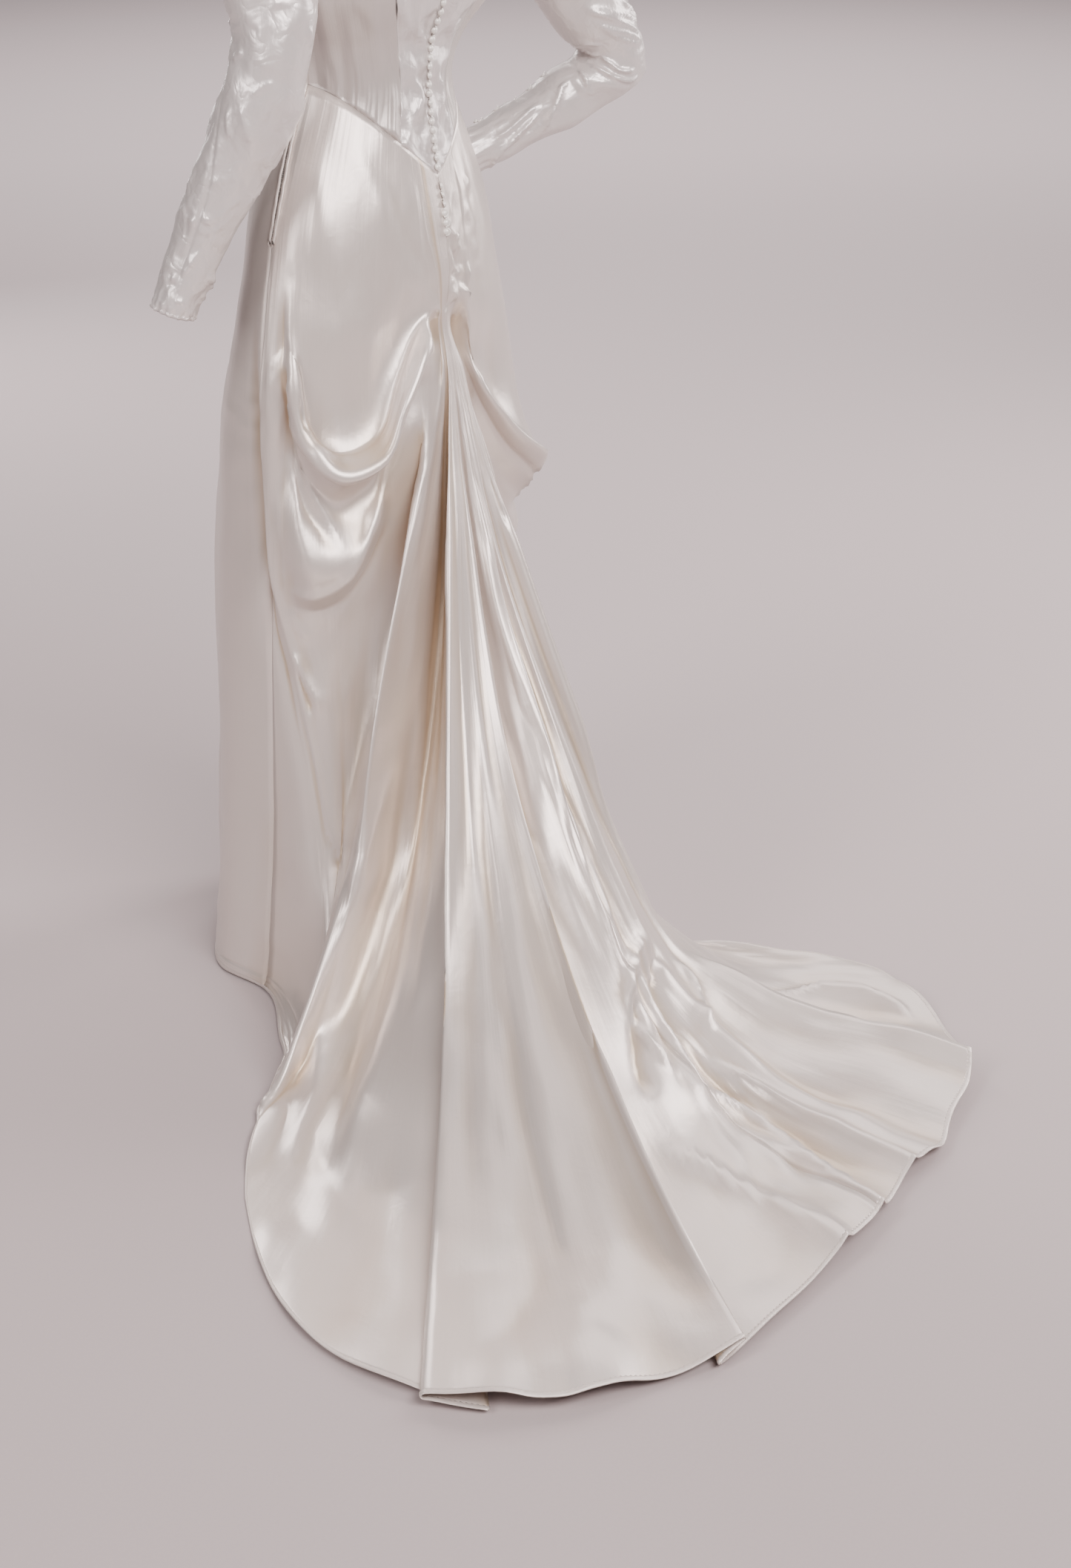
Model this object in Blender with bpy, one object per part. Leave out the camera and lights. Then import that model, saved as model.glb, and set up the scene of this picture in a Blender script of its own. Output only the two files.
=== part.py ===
"""Long-sleeved satin gown, cut on the bias, with hip drapes gathered into a train.

The cloth is a thin wall. Every panel is a patch of one of three surfaces: the body
sections (bodice), the fall of the skirt (rails of fold lines from waist to hem) and
the arm rings (sleeves). Lengths are in metres, +Z up. The wearer faces -Y with the
left side at +X, and the train runs toward +Y. The frame's origin is the holding
point, level with the shoulders; the floor lies HOLD_HEIGHT below it.
"""
import math

import bmesh
import bpy
import numpy as np
from mathutils import Vector

HOLD_HEIGHT = 1.40       # holding point above the floor
WALL = 0.0016            # cloth wall
SEAM_GAP = 0.0003        # between neighbouring pieces
WAIST_SIDE = 1.083       # waist seam above the floor, at the side
WAIST_DIP = 0.103        # how far the seam dips to its point at the back
NECK_HEIGHT = 1.440
FRONT_NECK_DROP = 0.030
GATHER_HEIGHT = 0.818    # where the drapes and the train meet
GATHER_FOOT = (-0.005, 0.112)
GATHER_WIDTH = 0.022
PRINCESS_ANGLE = 68.0    # seam beside the back closure, degrees round from the side
ARMHOLE = dict(centre=1.331, half_height=0.061, half_angle=26.0)
BUTTON_PITCH = 0.0100
BUTTON_RADIUS = 0.0042
BUTTON_RISE = 0.0030

# Bodice panels: first and last angle, columns, and which side the armhole cuts.
BODICE = {
    "bodice_side_back_left": (0.0, PRINCESS_ANGLE, 5, 1, 0),
    "bodice_centre_back_left": (PRINCESS_ANGLE, 90.0, 3, 0, 0),
    "bodice_centre_back_right": (90.0, 180.0 - PRINCESS_ANGLE, 3, 0, 0),
    "bodice_side_back_right": (180.0 - PRINCESS_ANGLE, 180.0, 5, 0, 1),
    "bodice_front": (180.0, 360.0, 10, 1, 1),
}

# Sections of the body: height, half width, depth to the front, depth to the back,
# and squareness (2 is an ellipse, more is fuller at the shoulder blades).
BODY = (
    (0.000, 0.233, 0.222, 0.118, 2.0),
    (0.050, 0.226, 0.220, 0.118, 2.0),
    (0.150, 0.216, 0.216, 0.118, 2.0),
    (0.300, 0.207, 0.212, 0.118, 2.0),
    (0.500, 0.200, 0.206, 0.118, 2.0),
    (0.700, 0.195, 0.180, 0.116, 2.0),
    (0.820, 0.187, 0.140, 0.113, 2.0),
    (0.917, 0.174, 0.118, 0.109, 2.0),
    (0.980, 0.150, 0.106, 0.099, 2.0),
    (1.030, 0.124, 0.096, 0.091, 2.0),
    (1.083, 0.107, 0.088, 0.087, 2.0),
    (1.120, 0.118, 0.094, 0.091, 2.2),
    (1.180, 0.155, 0.114, 0.113, 2.8),
    (1.250, 0.167, 0.128, 0.121, 2.8),
    (1.310, 0.170, 0.116, 0.113, 2.5),
    (1.360, 0.173, 0.092, 0.097, 2.2),
    (1.392, 0.168, 0.074, 0.080, 2.0),
    (1.405, 0.142, 0.068, 0.070, 2.0),
    (1.420, 0.106, 0.062, 0.061, 2.0),
    (1.440, 0.062, 0.056, 0.050, 2.0),
)
WAIST_ROW = 10

# Hip drapes: a row for each fall line from the side seam to the gather, for the
# left side and the right. Each fold of the drape is a height and how far it stands
# off the hip (negative: tucked in behind it). Below, fall bends the line over the
# floor and bow swings it sideways on the way down.
DRAPE = ("angle", "crest_z", "crest_out", "under_z", "under_out", "cowl_z", "cowl_out",
         "tuck_z", "tuck_out", "hem_x", "hem_y", "fall", "bow")
LEFT_DRAPES = (
    (0.0, 0.760, 0.002, 0.700, 0.001, 0.600, 0.001, 0.480, 0.000, 0.231, -0.010, 1.0, 0.000),
    (4.0, 0.770, 0.005, 0.700, 0.004, 0.600, 0.003, 0.480, -0.002, 0.320, 0.095, 1.0, 0.046),
    (12.0, 0.785, 0.006, 0.735, -0.005, 0.580, 0.010, 0.490, -0.006, 0.346, 0.124, 1.3, 0.040),
    (24.0, 0.705, 0.020, 0.660, -0.002, 0.552, 0.026, 0.488, -0.006, 0.366, 0.136, 1.6, 0.036),
    (37.0, 0.668, 0.034, 0.625, -0.006, 0.556, 0.020, 0.490, -0.012, 0.392, 0.150, 1.5, 0.014),
    (50.0, 0.678, 0.036, 0.634, -0.008, 0.582, 0.006, 0.516, -0.014, 0.417, 0.165, 1.2, 0.000),
    (62.0, 0.744, 0.029, 0.702, -0.010, 0.652, -0.004, 0.556, -0.010, 0.440, 0.177, 0.9, 0.000),
    (74.0, 0.798, 0.014, 0.764, -0.008, 0.700, 0.000, 0.590, 0.000, 0.462, 0.189, 0.7, 0.000),
)
RIGHT_DRAPES = (
    (104.0, 0.722, 0.016, 0.686, -0.004, 0.642, 0.000, 0.560, -0.010, -0.180, 0.300, 1.3, 0.0),
    (117.0, 0.664, 0.034, 0.618, 0.002, 0.580, -0.002, 0.522, -0.020, -0.192, 0.258, 1.5, 0.0),
    (130.0, 0.628, 0.052, 0.574, 0.016, 0.538, 0.008, 0.480, -0.018, -0.205, 0.212, 1.5, 0.0),
    (143.0, 0.612, 0.048, 0.560, 0.008, 0.520, 0.018, 0.450, -0.010, -0.216, 0.166, 1.4, 0.0),
    (156.0, 0.650, 0.026, 0.600, -0.002, 0.520, 0.022, 0.460, -0.002, -0.226, 0.118, 1.2, 0.0),
    (167.0, 0.740, 0.008, 0.690, 0.000, 0.560, 0.012, 0.470, 0.004, -0.232, 0.070, 1.0, 0.0),
    (175.0, 0.770, 0.004, 0.700, 0.004, 0.600, 0.007, 0.480, 0.009, -0.234, 0.028, 1.0, 0.0),
    (180.0, 0.760, 0.002, 0.700, 0.001, 0.600, 0.001, 0.480, 0.000, -0.231, -0.010, 1.0, 0.0),
)

# Train folds from the gather, left to right: where each meets the hem, how far it
# has swung out from the gather's foot at 60, 40, 20, 8 and 2 cm above the floor,
# and how high it lies on the floor.
TRAIN = ("hem_x", "hem_y", "r60", "r40", "r20", "r08", "r02", "lift")
LEFT_TRAIN = (
    (0.480, 0.199, 0.098, 0.200, 0.262, 0.335, 0.390, 0.006),
    (0.584, 0.277, 0.060, 0.145, 0.225, 0.310, 0.410, 0.000),
    (0.684, 0.384, 0.044, 0.118, 0.215, 0.330, 0.460, 0.000),
    (0.754, 0.507, 0.052, 0.140, 0.270, 0.410, 0.560, 0.000),
    (0.782, 0.655, 0.080, 0.195, 0.340, 0.500, 0.640, 0.022),
    (0.738, 0.752, 0.060, 0.165, 0.315, 0.490, 0.660, 0.000),
    (0.641, 0.810, 0.066, 0.182, 0.370, 0.560, 0.740, 0.005),
    (0.560, 0.853, 0.048, 0.150, 0.350, 0.560, 0.750, 0.000),
    (0.513, 0.870, 0.055, 0.165, 0.390, 0.600, 0.780, 0.024),
    (0.435, 0.868, 0.036, 0.122, 0.290, 0.450, 0.600, 0.000),
    (0.320, 0.865, 0.046, 0.155, 0.305, 0.450, 0.590, 0.014),
    (0.241, 0.866, 0.045, 0.165, 0.295, 0.420, 0.520, 0.003),
)
RIGHT_TRAIN = (
    (0.180, 0.850, 0.040, 0.148, 0.272, 0.385, 0.490, 0.000),
    (0.117, 0.843, 0.050, 0.156, 0.272, 0.380, 0.500, 0.020),
    (0.040, 0.826, 0.046, 0.136, 0.240, 0.340, 0.460, 0.000),
    (-0.100, 0.794, 0.062, 0.146, 0.230, 0.307, 0.430, 0.018),
    (-0.146, 0.750, 0.052, 0.126, 0.208, 0.280, 0.400, 0.000),
    (-0.214, 0.684, 0.050, 0.120, 0.196, 0.262, 0.360, 0.010),
    (-0.260, 0.596, 0.046, 0.112, 0.186, 0.245, 0.330, 0.000),
    (-0.254, 0.501, 0.044, 0.104, 0.174, 0.228, 0.296, 0.006),
    (-0.216, 0.412, 0.040, 0.096, 0.160, 0.208, 0.262, 0.000),
    (-0.178, 0.347, 0.036, 0.086, 0.142, 0.184, 0.226, 0.004),
)
FRONT_FLUTES = ((203.0, 0.006), (226.0, -0.005), (248.0, 0.005), (270.0, -0.003),
                (292.0, 0.005), (314.0, -0.005), (337.0, 0.006))

# Heights of the stations below the drapes, and how many rows each span gets.
FALL_LEVELS = (0.38, 0.20, 0.08, 0.02)
FALL_SHARE = (0.10, 0.36, 0.66, 0.87)
HEM_REST = 0.0030         # height of the hem's middle surface
FLOOR_REST = 0.0010       # lowest that it lies
SPANS = (2, 2, 1, 2, 3, 2, 2, 3, 2, 2, 3)
COLUMNS_PER_FOLD = 2

# Arms: centre of each ring, half width, half depth, and how far it leans outward.
LEFT_ARM = (
    (0.204, 0.004, 1.322, 0.058, 0.058, 0.80),
    (0.224, 0.020, 1.262, 0.051, 0.052, 0.20),
    (0.210, 0.048, 1.180, 0.046, 0.047, 0.00),
    (0.219, 0.044, 1.110, 0.044, 0.045, 0.00),
    (0.229, 0.018, 1.040, 0.040, 0.041, 0.00),
    (0.250, -0.018, 0.960, 0.033, 0.034, 0.00),
    (0.270, -0.045, 0.890, 0.026, 0.027, 0.00),
    (0.279, -0.055, 0.852, 0.024, 0.024, 0.00),
)
RIGHT_ARM = (
    (-0.212, 0.014, 1.320, 0.057, 0.058, 0.70),
    (-0.246, 0.032, 1.258, 0.050, 0.052, 0.10),
    (-0.288, 0.058, 1.184, 0.046, 0.048, 0.00),
    (-0.334, 0.086, 1.115, 0.044, 0.046, 0.00),
    (-0.354, 0.092, 1.070, 0.043, 0.045, 0.00),
    (-0.318, 0.068, 1.038, 0.036, 0.038, 0.00),
    (-0.258, 0.026, 0.999, 0.030, 0.031, 0.00),
    (-0.194, -0.017, 0.964, 0.025, 0.026, 0.00),
)
SLEEVE_SIDES = 14


# Curves and surfaces

def along(knots, values, x):
    """Smooth curve through values at knots, read at x."""
    k = np.asarray(knots, float)
    v = np.asarray(values, float)
    x = np.clip(np.asarray(x, float), k[0], k[-1])
    slope = np.diff(v) / np.diff(k)
    w = np.diff(k)
    inner = (slope[:-1] * w[1:] + slope[1:] * w[:-1]) / (w[1:] + w[:-1])
    m = np.concatenate([slope[:1], inner, slope[-1:]])
    i = np.clip(np.searchsorted(k, x, side="right") - 1, 0, len(k) - 2)
    t = (x - k[i]) / w[i]
    h = w[i]
    return ((2*t**3 - 3*t**2 + 1) * v[i] + (t**3 - 2*t**2 + t) * h * m[i]
            + (3*t**2 - 2*t**3) * v[i+1] + (t**3 - t**2) * h * m[i+1])


BODY_TABLE = np.array(BODY)


def body_point(angle, z, out=0.0):
    """Point of the body at an angle round from its left side, out along its normal."""
    angle, z, out = np.broadcast_arrays(np.radians(angle), z, out)
    half, front, back, square = (along(BODY_TABLE[:, 0], BODY_TABLE[:, c], z)
                                 for c in (1, 2, 3, 4))
    depth = np.where(np.sin(angle) > 0, back, front)
    x = half * np.sign(np.cos(angle)) * np.abs(np.cos(angle)) ** (2 / square)
    y = depth * np.sign(np.sin(angle)) * np.abs(np.sin(angle)) ** (2 / square)
    pull = 0.020 * np.exp(-((z - GATHER_HEIGHT) / 0.075)**2) * np.exp(-(x / 0.034)**2)
    y = y - np.where(np.sin(angle) > 0, pull, 0.0)
    nx, ny = np.cos(angle) / half, np.sin(angle) / depth
    size = np.hypot(nx, ny)
    return np.stack([x + out * nx / size, y + out * ny / size, z + 0.0 * x], -1)


def waist_height(angle):
    """Height of the waist seam, level in front and dipping to a point behind."""
    back = np.clip(np.sin(np.radians(angle)), 0.0, 1.0)
    share = np.degrees(np.arcsin(back)) / 90.0
    return WAIST_SIDE - WAIST_DIP * share**1.7


def neck_height(angle):
    """Height of the neckline, lower in front."""
    front = np.clip(-np.sin(np.radians(angle)), 0.0, 1.0)
    return NECK_HEIGHT - FRONT_NECK_DROP * front**2


def panel_angles(name):
    """Angles of a bodice panel's columns."""
    start, stop, columns = BODICE[name][:3]
    return np.linspace(start, stop, columns + 1)


def waist_edge(angle):
    """Points and normals of the bodice's lower edge, straight between its columns."""
    corners = np.unique(np.concatenate([panel_angles(name) for name in BODICE]))
    edge = body_point(corners, waist_height(corners))
    outward = body_point(corners, waist_height(corners), 1.0) - edge
    angle = np.mod(angle, 360.0)
    place = [np.interp(angle, corners, edge[:, k]) for k in range(3)]
    normal = np.stack([np.interp(angle, corners, outward[:, k]) for k in range(3)], 1)
    return np.stack(place, 1), normal / np.linalg.norm(normal, axis=1, keepdims=True)


def drape_rail(row):
    """Stations of one fall line of a hip drape, waist to hem."""
    r = dict(zip(DRAPE, row))
    angle = r["angle"]
    stations = [body_point(angle, waist_height(angle)),
                body_point(angle, 0.935, 0.001),
                body_point(angle, r["crest_z"] + 0.6 * (0.935 - r["crest_z"]),
                           0.25 * r["crest_out"])]
    for fold in ("crest", "under", "cowl", "tuck"):
        stations.append(body_point(angle, r[fold + "_z"], r[fold + "_out"]))
    tuck, hem = stations[-1], np.array([r["hem_x"], r["hem_y"], 0.0])
    across = np.array([tuck[1] - hem[1], hem[0] - tuck[0], 0.0])
    across = across / np.linalg.norm(across) * r["bow"]
    for level, share in zip(FALL_LEVELS, FALL_SHARE):
        p = tuck + (hem - tuck) * share ** r["fall"] + across * 4 * share * (1 - share)
        stations.append(np.array([p[0], p[1], level]))
    stations.append(np.array([hem[0], hem[1], HEM_REST]))
    return np.array(stations)


def train_rail(row, place, side):
    """Stations of one train fold; place runs from 1 beside the drape to 0 at the seam."""
    r = dict(zip(TRAIN, row))
    foot = np.array(GATHER_FOOT)
    hem = np.array([r["hem_x"], r["hem_y"]])
    reach = np.linalg.norm(hem - foot)
    ahead = (hem - foot) / reach
    waist_angle = 90.0 - side * place * 13.0
    hip_angle = 90.0 - side * place * 10.0
    stations = [body_point(waist_angle, waist_height(waist_angle)),
                body_point(hip_angle, 0.920, 0.001),
                body_point(90.0 - side * place * 6.0, 0.865, 0.002)]
    squeeze = side * place * GATHER_WIDTH / 2
    gather = body_point(90.0, GATHER_HEIGHT, 0.003) + np.array([squeeze, -abs(squeeze)**2 * 30, 0])
    stations.append(gather)
    mean_60 = 0.056
    reaches = ((0.755, 0.17 * (0.65 * mean_60 + 0.35 * r["r60"]), 0.85),
               (0.680, 0.55 * (0.35 * mean_60 + 0.65 * r["r60"]), 0.60),
               (0.560, r["r60"] + 0.20 * (r["r40"] - r["r60"]), 0.30),
               (0.380, r["r40"] + 0.06 * (r["r20"] - r["r40"]), 0.10),
               (0.200, r["r20"], 0.0), (0.080, r["r08"], 0.0))
    for z, out, keep in reaches:
        p = foot + ahead * out + np.array([squeeze * keep, 0.0])
        stations.append(np.array([p[0], p[1], z]))
    p = foot + ahead * r["r02"]
    stations.append(np.array([p[0], p[1], 0.014 + r["lift"]]))
    stations.append(np.array([hem[0], hem[1], HEM_REST + 0.7 * r["lift"]]))
    return np.array(stations)


def front_rail(angle, flute):
    """Stations of one fall line of the plain front."""
    levels = (waist_height(angle), 0.935, 0.850, 0.760, 0.700, 0.600, 0.480,
              0.380, 0.200, 0.080, 0.020, HEM_REST)
    return np.array([body_point(angle, z, flute * np.clip((0.95 - z) / 0.8, 0, 1))
                     for z in levels])


def smooth_through(points, counts, closed=False):
    """Rows of points passed by a smooth curve, counts[i] steps in span i."""
    p = np.asarray(points, float)
    n = len(p)
    spans = n if closed else n - 1
    nxt = np.roll(p, -1, 0)
    step = np.linalg.norm(nxt - p, axis=-1, keepdims=True).clip(1e-7)
    slope = (nxt - p) / step
    before, size = np.roll(slope, 1, 0), np.roll(step, 1, 0)
    tangent = (before * step + slope * size) / (step + size)
    if not closed:
        tangent[0], tangent[-1] = slope[0], slope[-2]
    out = []
    for i in range(spans):
        j = (i + 1) % n
        for k in range(counts[i]):
            t = k / counts[i]
            out.append((2*t**3 - 3*t**2 + 1) * p[i] + (t**3 - 2*t**2 + t) * step[i] * tangent[i]
                       + (3*t**2 - 2*t**3) * p[j] + (t**3 - t**2) * step[i] * tangent[j])
    if not closed:
        out.append(p[-1])
    return np.array(out)


def skirt_rails():
    """All fall lines, from the left side seam round the back to the right and the front."""
    rails = [drape_rail(row) for row in LEFT_DRAPES]
    last = len(LEFT_TRAIN) - 1
    rails += [train_rail(row, 1 - i / last, 1) for i, row in enumerate(LEFT_TRAIN)]
    seam = len(rails) - 1
    count = len(RIGHT_TRAIN)
    rails += [train_rail(row, (i + 1) / count, -1) for i, row in enumerate(RIGHT_TRAIN)]
    rails += [drape_rail(row) for row in RIGHT_DRAPES]
    right = len(rails) - 1
    rails += [front_rail(*row) for row in FRONT_FLUTES]
    return np.array(rails), seam, right


def grid_normals(grid, closed):
    """Outward unit normals of a grid whose rows run down and columns run round."""
    down = np.gradient(grid, axis=0)
    if closed:
        across = (np.roll(grid, -1, 1) - np.roll(grid, 1, 1)) / 2
    else:
        across = np.gradient(grid, axis=1)
    normal = np.cross(down, across)
    return normal / np.linalg.norm(normal, axis=-1, keepdims=True).clip(1e-12)


def skirt_surface(columns_per_fold, spans):
    """Closed grid of the whole skirt with its normals, and its seam columns."""
    rails, seam, right = skirt_rails()
    rows = smooth_through(np.swapaxes(rails, 0, 1), spans)
    ring = smooth_through(np.swapaxes(rows, 0, 1), [columns_per_fold] * len(rails), closed=True)
    grid = np.swapaxes(ring, 0, 1)
    grid[..., 2] = np.maximum(grid[..., 2], FLOOR_REST)
    normal = grid_normals(grid, closed=True)
    half, back = BODY_TABLE[WAIST_ROW, 1], BODY_TABLE[WAIST_ROW, 3]
    angle = np.degrees(np.arctan2(grid[0, :, 1] / back, grid[0, :, 0] / half))
    grid[0], normal[0] = waist_edge(angle)
    return grid, normal, seam * columns_per_fold, right * columns_per_fold


def trimmed(grid, sides):
    """The grid with its named edges drawn back by half the seam gap."""
    g = grid.copy()
    edges = {"top": (g[0], g[1]), "bottom": (g[-1], g[-2]),
             "first": (g[:, 0], g[:, 1]), "last": (g[:, -1], g[:, -2])}
    for name in sides:
        edge, beside = edges[name]
        step = beside - edge
        size = np.linalg.norm(step, axis=-1, keepdims=True).clip(1e-9)
        edge += step / size * np.minimum(SEAM_GAP / 2, 0.4 * size)
    return g


# Solids

def add_object(name, bm, material, smooth=True):
    mesh = bpy.data.meshes.new(name)
    bmesh.ops.recalc_face_normals(bm, faces=bm.faces)
    bm.to_mesh(mesh)
    bm.free()
    if smooth:
        mesh.shade_smooth()
        mesh.set_sharp_from_angle(angle=math.radians(50))
    mesh.materials.append(material)
    piece = bpy.data.objects.new(name, mesh)
    bpy.context.scene.collection.objects.link(piece)
    piece.parent = frame
    return piece


def cloth_solid(name, grid, normal, material, closed=False, wall=WALL):
    """A wall round a grid: outer and inner faces, joined along their open edges."""
    rows, columns = grid.shape[:2]
    bm = bmesh.new()
    skins = []
    for side in (0.5, -0.5):
        points = grid + normal * wall * side
        skins.append([[bm.verts.new(p) for p in row] for row in points])
    outer, inner = skins
    spans = columns if closed else columns - 1
    for i in range(rows - 1):
        for j in range(spans):
            k = (j + 1) % columns
            for skin in skins:
                a, b, c, d = skin[i][j], skin[i][k], skin[i+1][k], skin[i+1][j]
                bm.faces.new((a, b, c))
                bm.faces.new((a, c, d))
    rims = [(outer[i], inner[i], spans) for i in (0, rows - 1)]
    if not closed:
        for j in (0, columns - 1):
            rims.append(([r[j] for r in outer], [r[j] for r in inner], rows - 1))
    for out, back, count in rims:
        for j in range(count):
            k = (j + 1) % len(out)
            bm.faces.new((out[j], out[k], back[k], back[j]))
    return add_object(name, bm, material)


def satin(name, colour, roughness=0.30):
    material = bpy.data.materials.new(name)
    shader = material.node_tree.nodes["Principled BSDF"] if material.use_nodes else None
    if shader is None:
        material.use_nodes = True
        shader = material.node_tree.nodes["Principled BSDF"]
    shader.inputs["Base Color"].default_value = (*colour, 1.0)
    shader.inputs["Roughness"].default_value = roughness
    shader.inputs["Metallic"].default_value = 0.0
    return material


# Bodice

def bodice_rows(angle):
    """Heights of a bodice column from the waist seam to the neckline."""
    low = waist_height(angle)
    rise = [low + (1.115 - low) * t for t in (0, 0.35, 0.7, 1.0)]
    top = neck_height(angle)
    upper = 1.392
    return np.array(rise + [1.16, 1.21, ARMHOLE["centre"] - ARMHOLE["half_height"],
                            1.286, 1.310, 1.335, 1.360, 1.380, upper,
                            upper + (top - upper) * 0.34, upper + (top - upper) * 0.68, top])


def armhole_angle(z):
    """Half angle that the armhole cuts out of the section at a height."""
    rise = np.clip((z - ARMHOLE["centre"]) / ARMHOLE["half_height"], -1, 1)
    return ARMHOLE["half_angle"] * np.sqrt(1 - rise**2)


def bodice_panel(start, stop, columns, cut_start=0, cut_stop=0):
    """Grid and normals of a bodice panel between two angles, cut round the armholes."""
    grid, normal = [], []
    for share in np.linspace(0, 1, columns + 1):
        z = bodice_rows(start + (stop - start) * share)
        cut = armhole_angle(z)
        first, last = start + cut_start * cut, stop - cut_stop * cut
        angle = first + (last - first) * share
        grid.append(body_point(angle, z))
        beside = body_point(angle + 0.5, z) - body_point(angle - 0.5, z)
        above = body_point(angle, z + 0.002) - body_point(angle, z - 0.002)
        n = np.cross(beside, above)
        n[0] = body_point(angle[0], z[0], 1.0) - body_point(angle[0], z[0])
        normal.append(n / np.linalg.norm(n, axis=1, keepdims=True))
    grid, normal = np.swapaxes(grid, 0, 1), np.swapaxes(normal, 0, 1)
    return trimmed(grid[::-1], ("bottom", "first", "last")), normal[::-1]


# Sleeves

def sleeve_surface(arm, side, sides, per_span):
    """Closed grid of a sleeve: the armhole's edge, then rings along the arm."""
    table = np.array(arm)
    turn = np.arange(sides) / sides * 2 * np.pi
    base = 0.0 if side > 0 else 180.0
    edge_angle = base + side * ARMHOLE["half_angle"] * np.cos(turn)
    edge_z = ARMHOLE["centre"] + ARMHOLE["half_height"] * np.sin(turn)
    cap = body_point(edge_angle, edge_z, WALL / 2 + SEAM_GAP + 0.0006)
    centres = table[:, :3]
    path = smooth_through(np.vstack([cap.mean(0), centres]), [1] * len(centres))
    tangent = np.gradient(path, axis=0)
    tangent /= np.linalg.norm(tangent, axis=1, keepdims=True)
    rings = [cap]
    for centre, ahead, (wide, deep, lean) in zip(centres, tangent[1:], table[:, 3:]):
        ahead = ahead + [side * lean, 0.0, 0.0]
        ahead /= np.linalg.norm(ahead)
        back = np.array([0.0, 1.0, 0.0]) - ahead * ahead[1]
        back /= np.linalg.norm(back)
        up = np.cross(ahead, back) * side
        rings.append(centre + wide * np.sin(turn)[:, None] * up
                     + deep * np.cos(turn)[:, None] * back)
    grid = smooth_through(np.array(rings), [per_span] * (len(rings) - 1))
    normal = grid_normals(grid, closed=True)
    if side < 0:
        normal = -normal
    middle = grid.mean(axis=1, keepdims=True)
    if np.mean(np.sum(normal * (grid - middle), -1)) < 0:
        normal = -normal
    return grid, normal


# Small parts

def column_line(*columns):
    """Points and normals of panel columns as one line, lowest first."""
    points = np.vstack([c[0] for c in columns])
    normals = np.vstack([c[1] for c in columns])
    order = np.argsort(points[:, 2])
    return points[order], normals[order]


def on_line(line, z, out):
    """Points of the line's outer face at heights z, moved out, and their normals."""
    points, normals = line
    face = points + normals * (WALL / 2 + out)
    place = np.stack([np.interp(z, face[:, 2], face[:, k]) for k in range(3)], 1)
    normal = np.stack([np.interp(z, points[:, 2], normals[:, k]) for k in range(3)], 1)
    return place, normal / np.linalg.norm(normal, axis=1, keepdims=True)


def ribbon(name, points, outward, width, thickness, material):
    """Flat strip along points, its width square to both its run and its outward side."""
    run = np.gradient(points, axis=0)
    wide = np.cross(run, outward)
    wide /= np.linalg.norm(wide, axis=1, keepdims=True)
    grid = np.stack([points - wide * width / 2, points + wide * width / 2], 1)
    normal = np.repeat(outward[:, None], 2, 1)
    return cloth_solid(name, grid, normal, material, wall=thickness)


def button_row(name, line, low, high, material):
    """Covered buttons side by side on their narrow strip, along the centre back."""
    count = int((high - low) / BUTTON_PITCH)
    offsets = (-0.5, -0.22, 0.22)
    z = np.array([low + (i + 0.5 + o) * BUTTON_PITCH for i in range(count) for o in offsets]
                 + [low + count * BUTTON_PITCH])
    raised = np.array([0.0, 1.0, 1.0] * count + [0.0])
    base, outward = on_line(line, z, SEAM_GAP + 0.0003)
    across = np.array([-1.0, -0.42, 0.42, 1.0]) * BUTTON_RADIUS
    dome = np.array([0.0, 1.0, 1.0, 0.0])
    bm = bmesh.new()
    back, face = [], []
    for p, out, up in zip(base, outward, raised):
        back.append([bm.verts.new(p + [x, 0, 0]) for x in across[[0, -1]]])
        rise = 0.0012 + BUTTON_RISE * dome * up
        face.append([bm.verts.new(p + [x, 0, 0] + out * h) for x, h in zip(across, rise)])
    for a, b, c, d in zip(back, back[1:], face, face[1:]):
        bm.faces.new((a[0], a[1], b[1], b[0]))
        for j in range(3):
            bm.faces.new((c[j], c[j+1], d[j+1], d[j]))
        bm.faces.new((a[0], b[0], d[0], c[0]))
        bm.faces.new((a[1], b[1], d[3], c[3]))
    for a, c in ((back[0], face[0]), (back[-1], face[-1])):
        bm.faces.new((a[0], a[1], c[3], c[2], c[1], c[0]))
    bmesh.ops.triangulate(bm, faces=bm.faces)
    return add_object(name, bm, material, smooth=False)


def cuff_button(name, grid, normal, column, rows_up, material):
    """One oval covered button standing on the sleeve just above its edge."""
    at, out = grid[-1 - rows_up, column], normal[-1 - rows_up, column]
    bm = bmesh.new()
    bmesh.ops.create_uvsphere(bm, u_segments=10, v_segments=6, radius=BUTTON_RADIUS)
    for v in bm.verts:
        v.co.z = max(v.co.z, -0.0008) * 0.75
    piece = add_object(name, bm, material)
    piece.rotation_mode = "QUATERNION"
    piece.rotation_quaternion = Vector(out).to_track_quat("Z", "Y")
    piece.location = at + out * (WALL / 2 + SEAM_GAP + 0.0008)
    return piece


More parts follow.
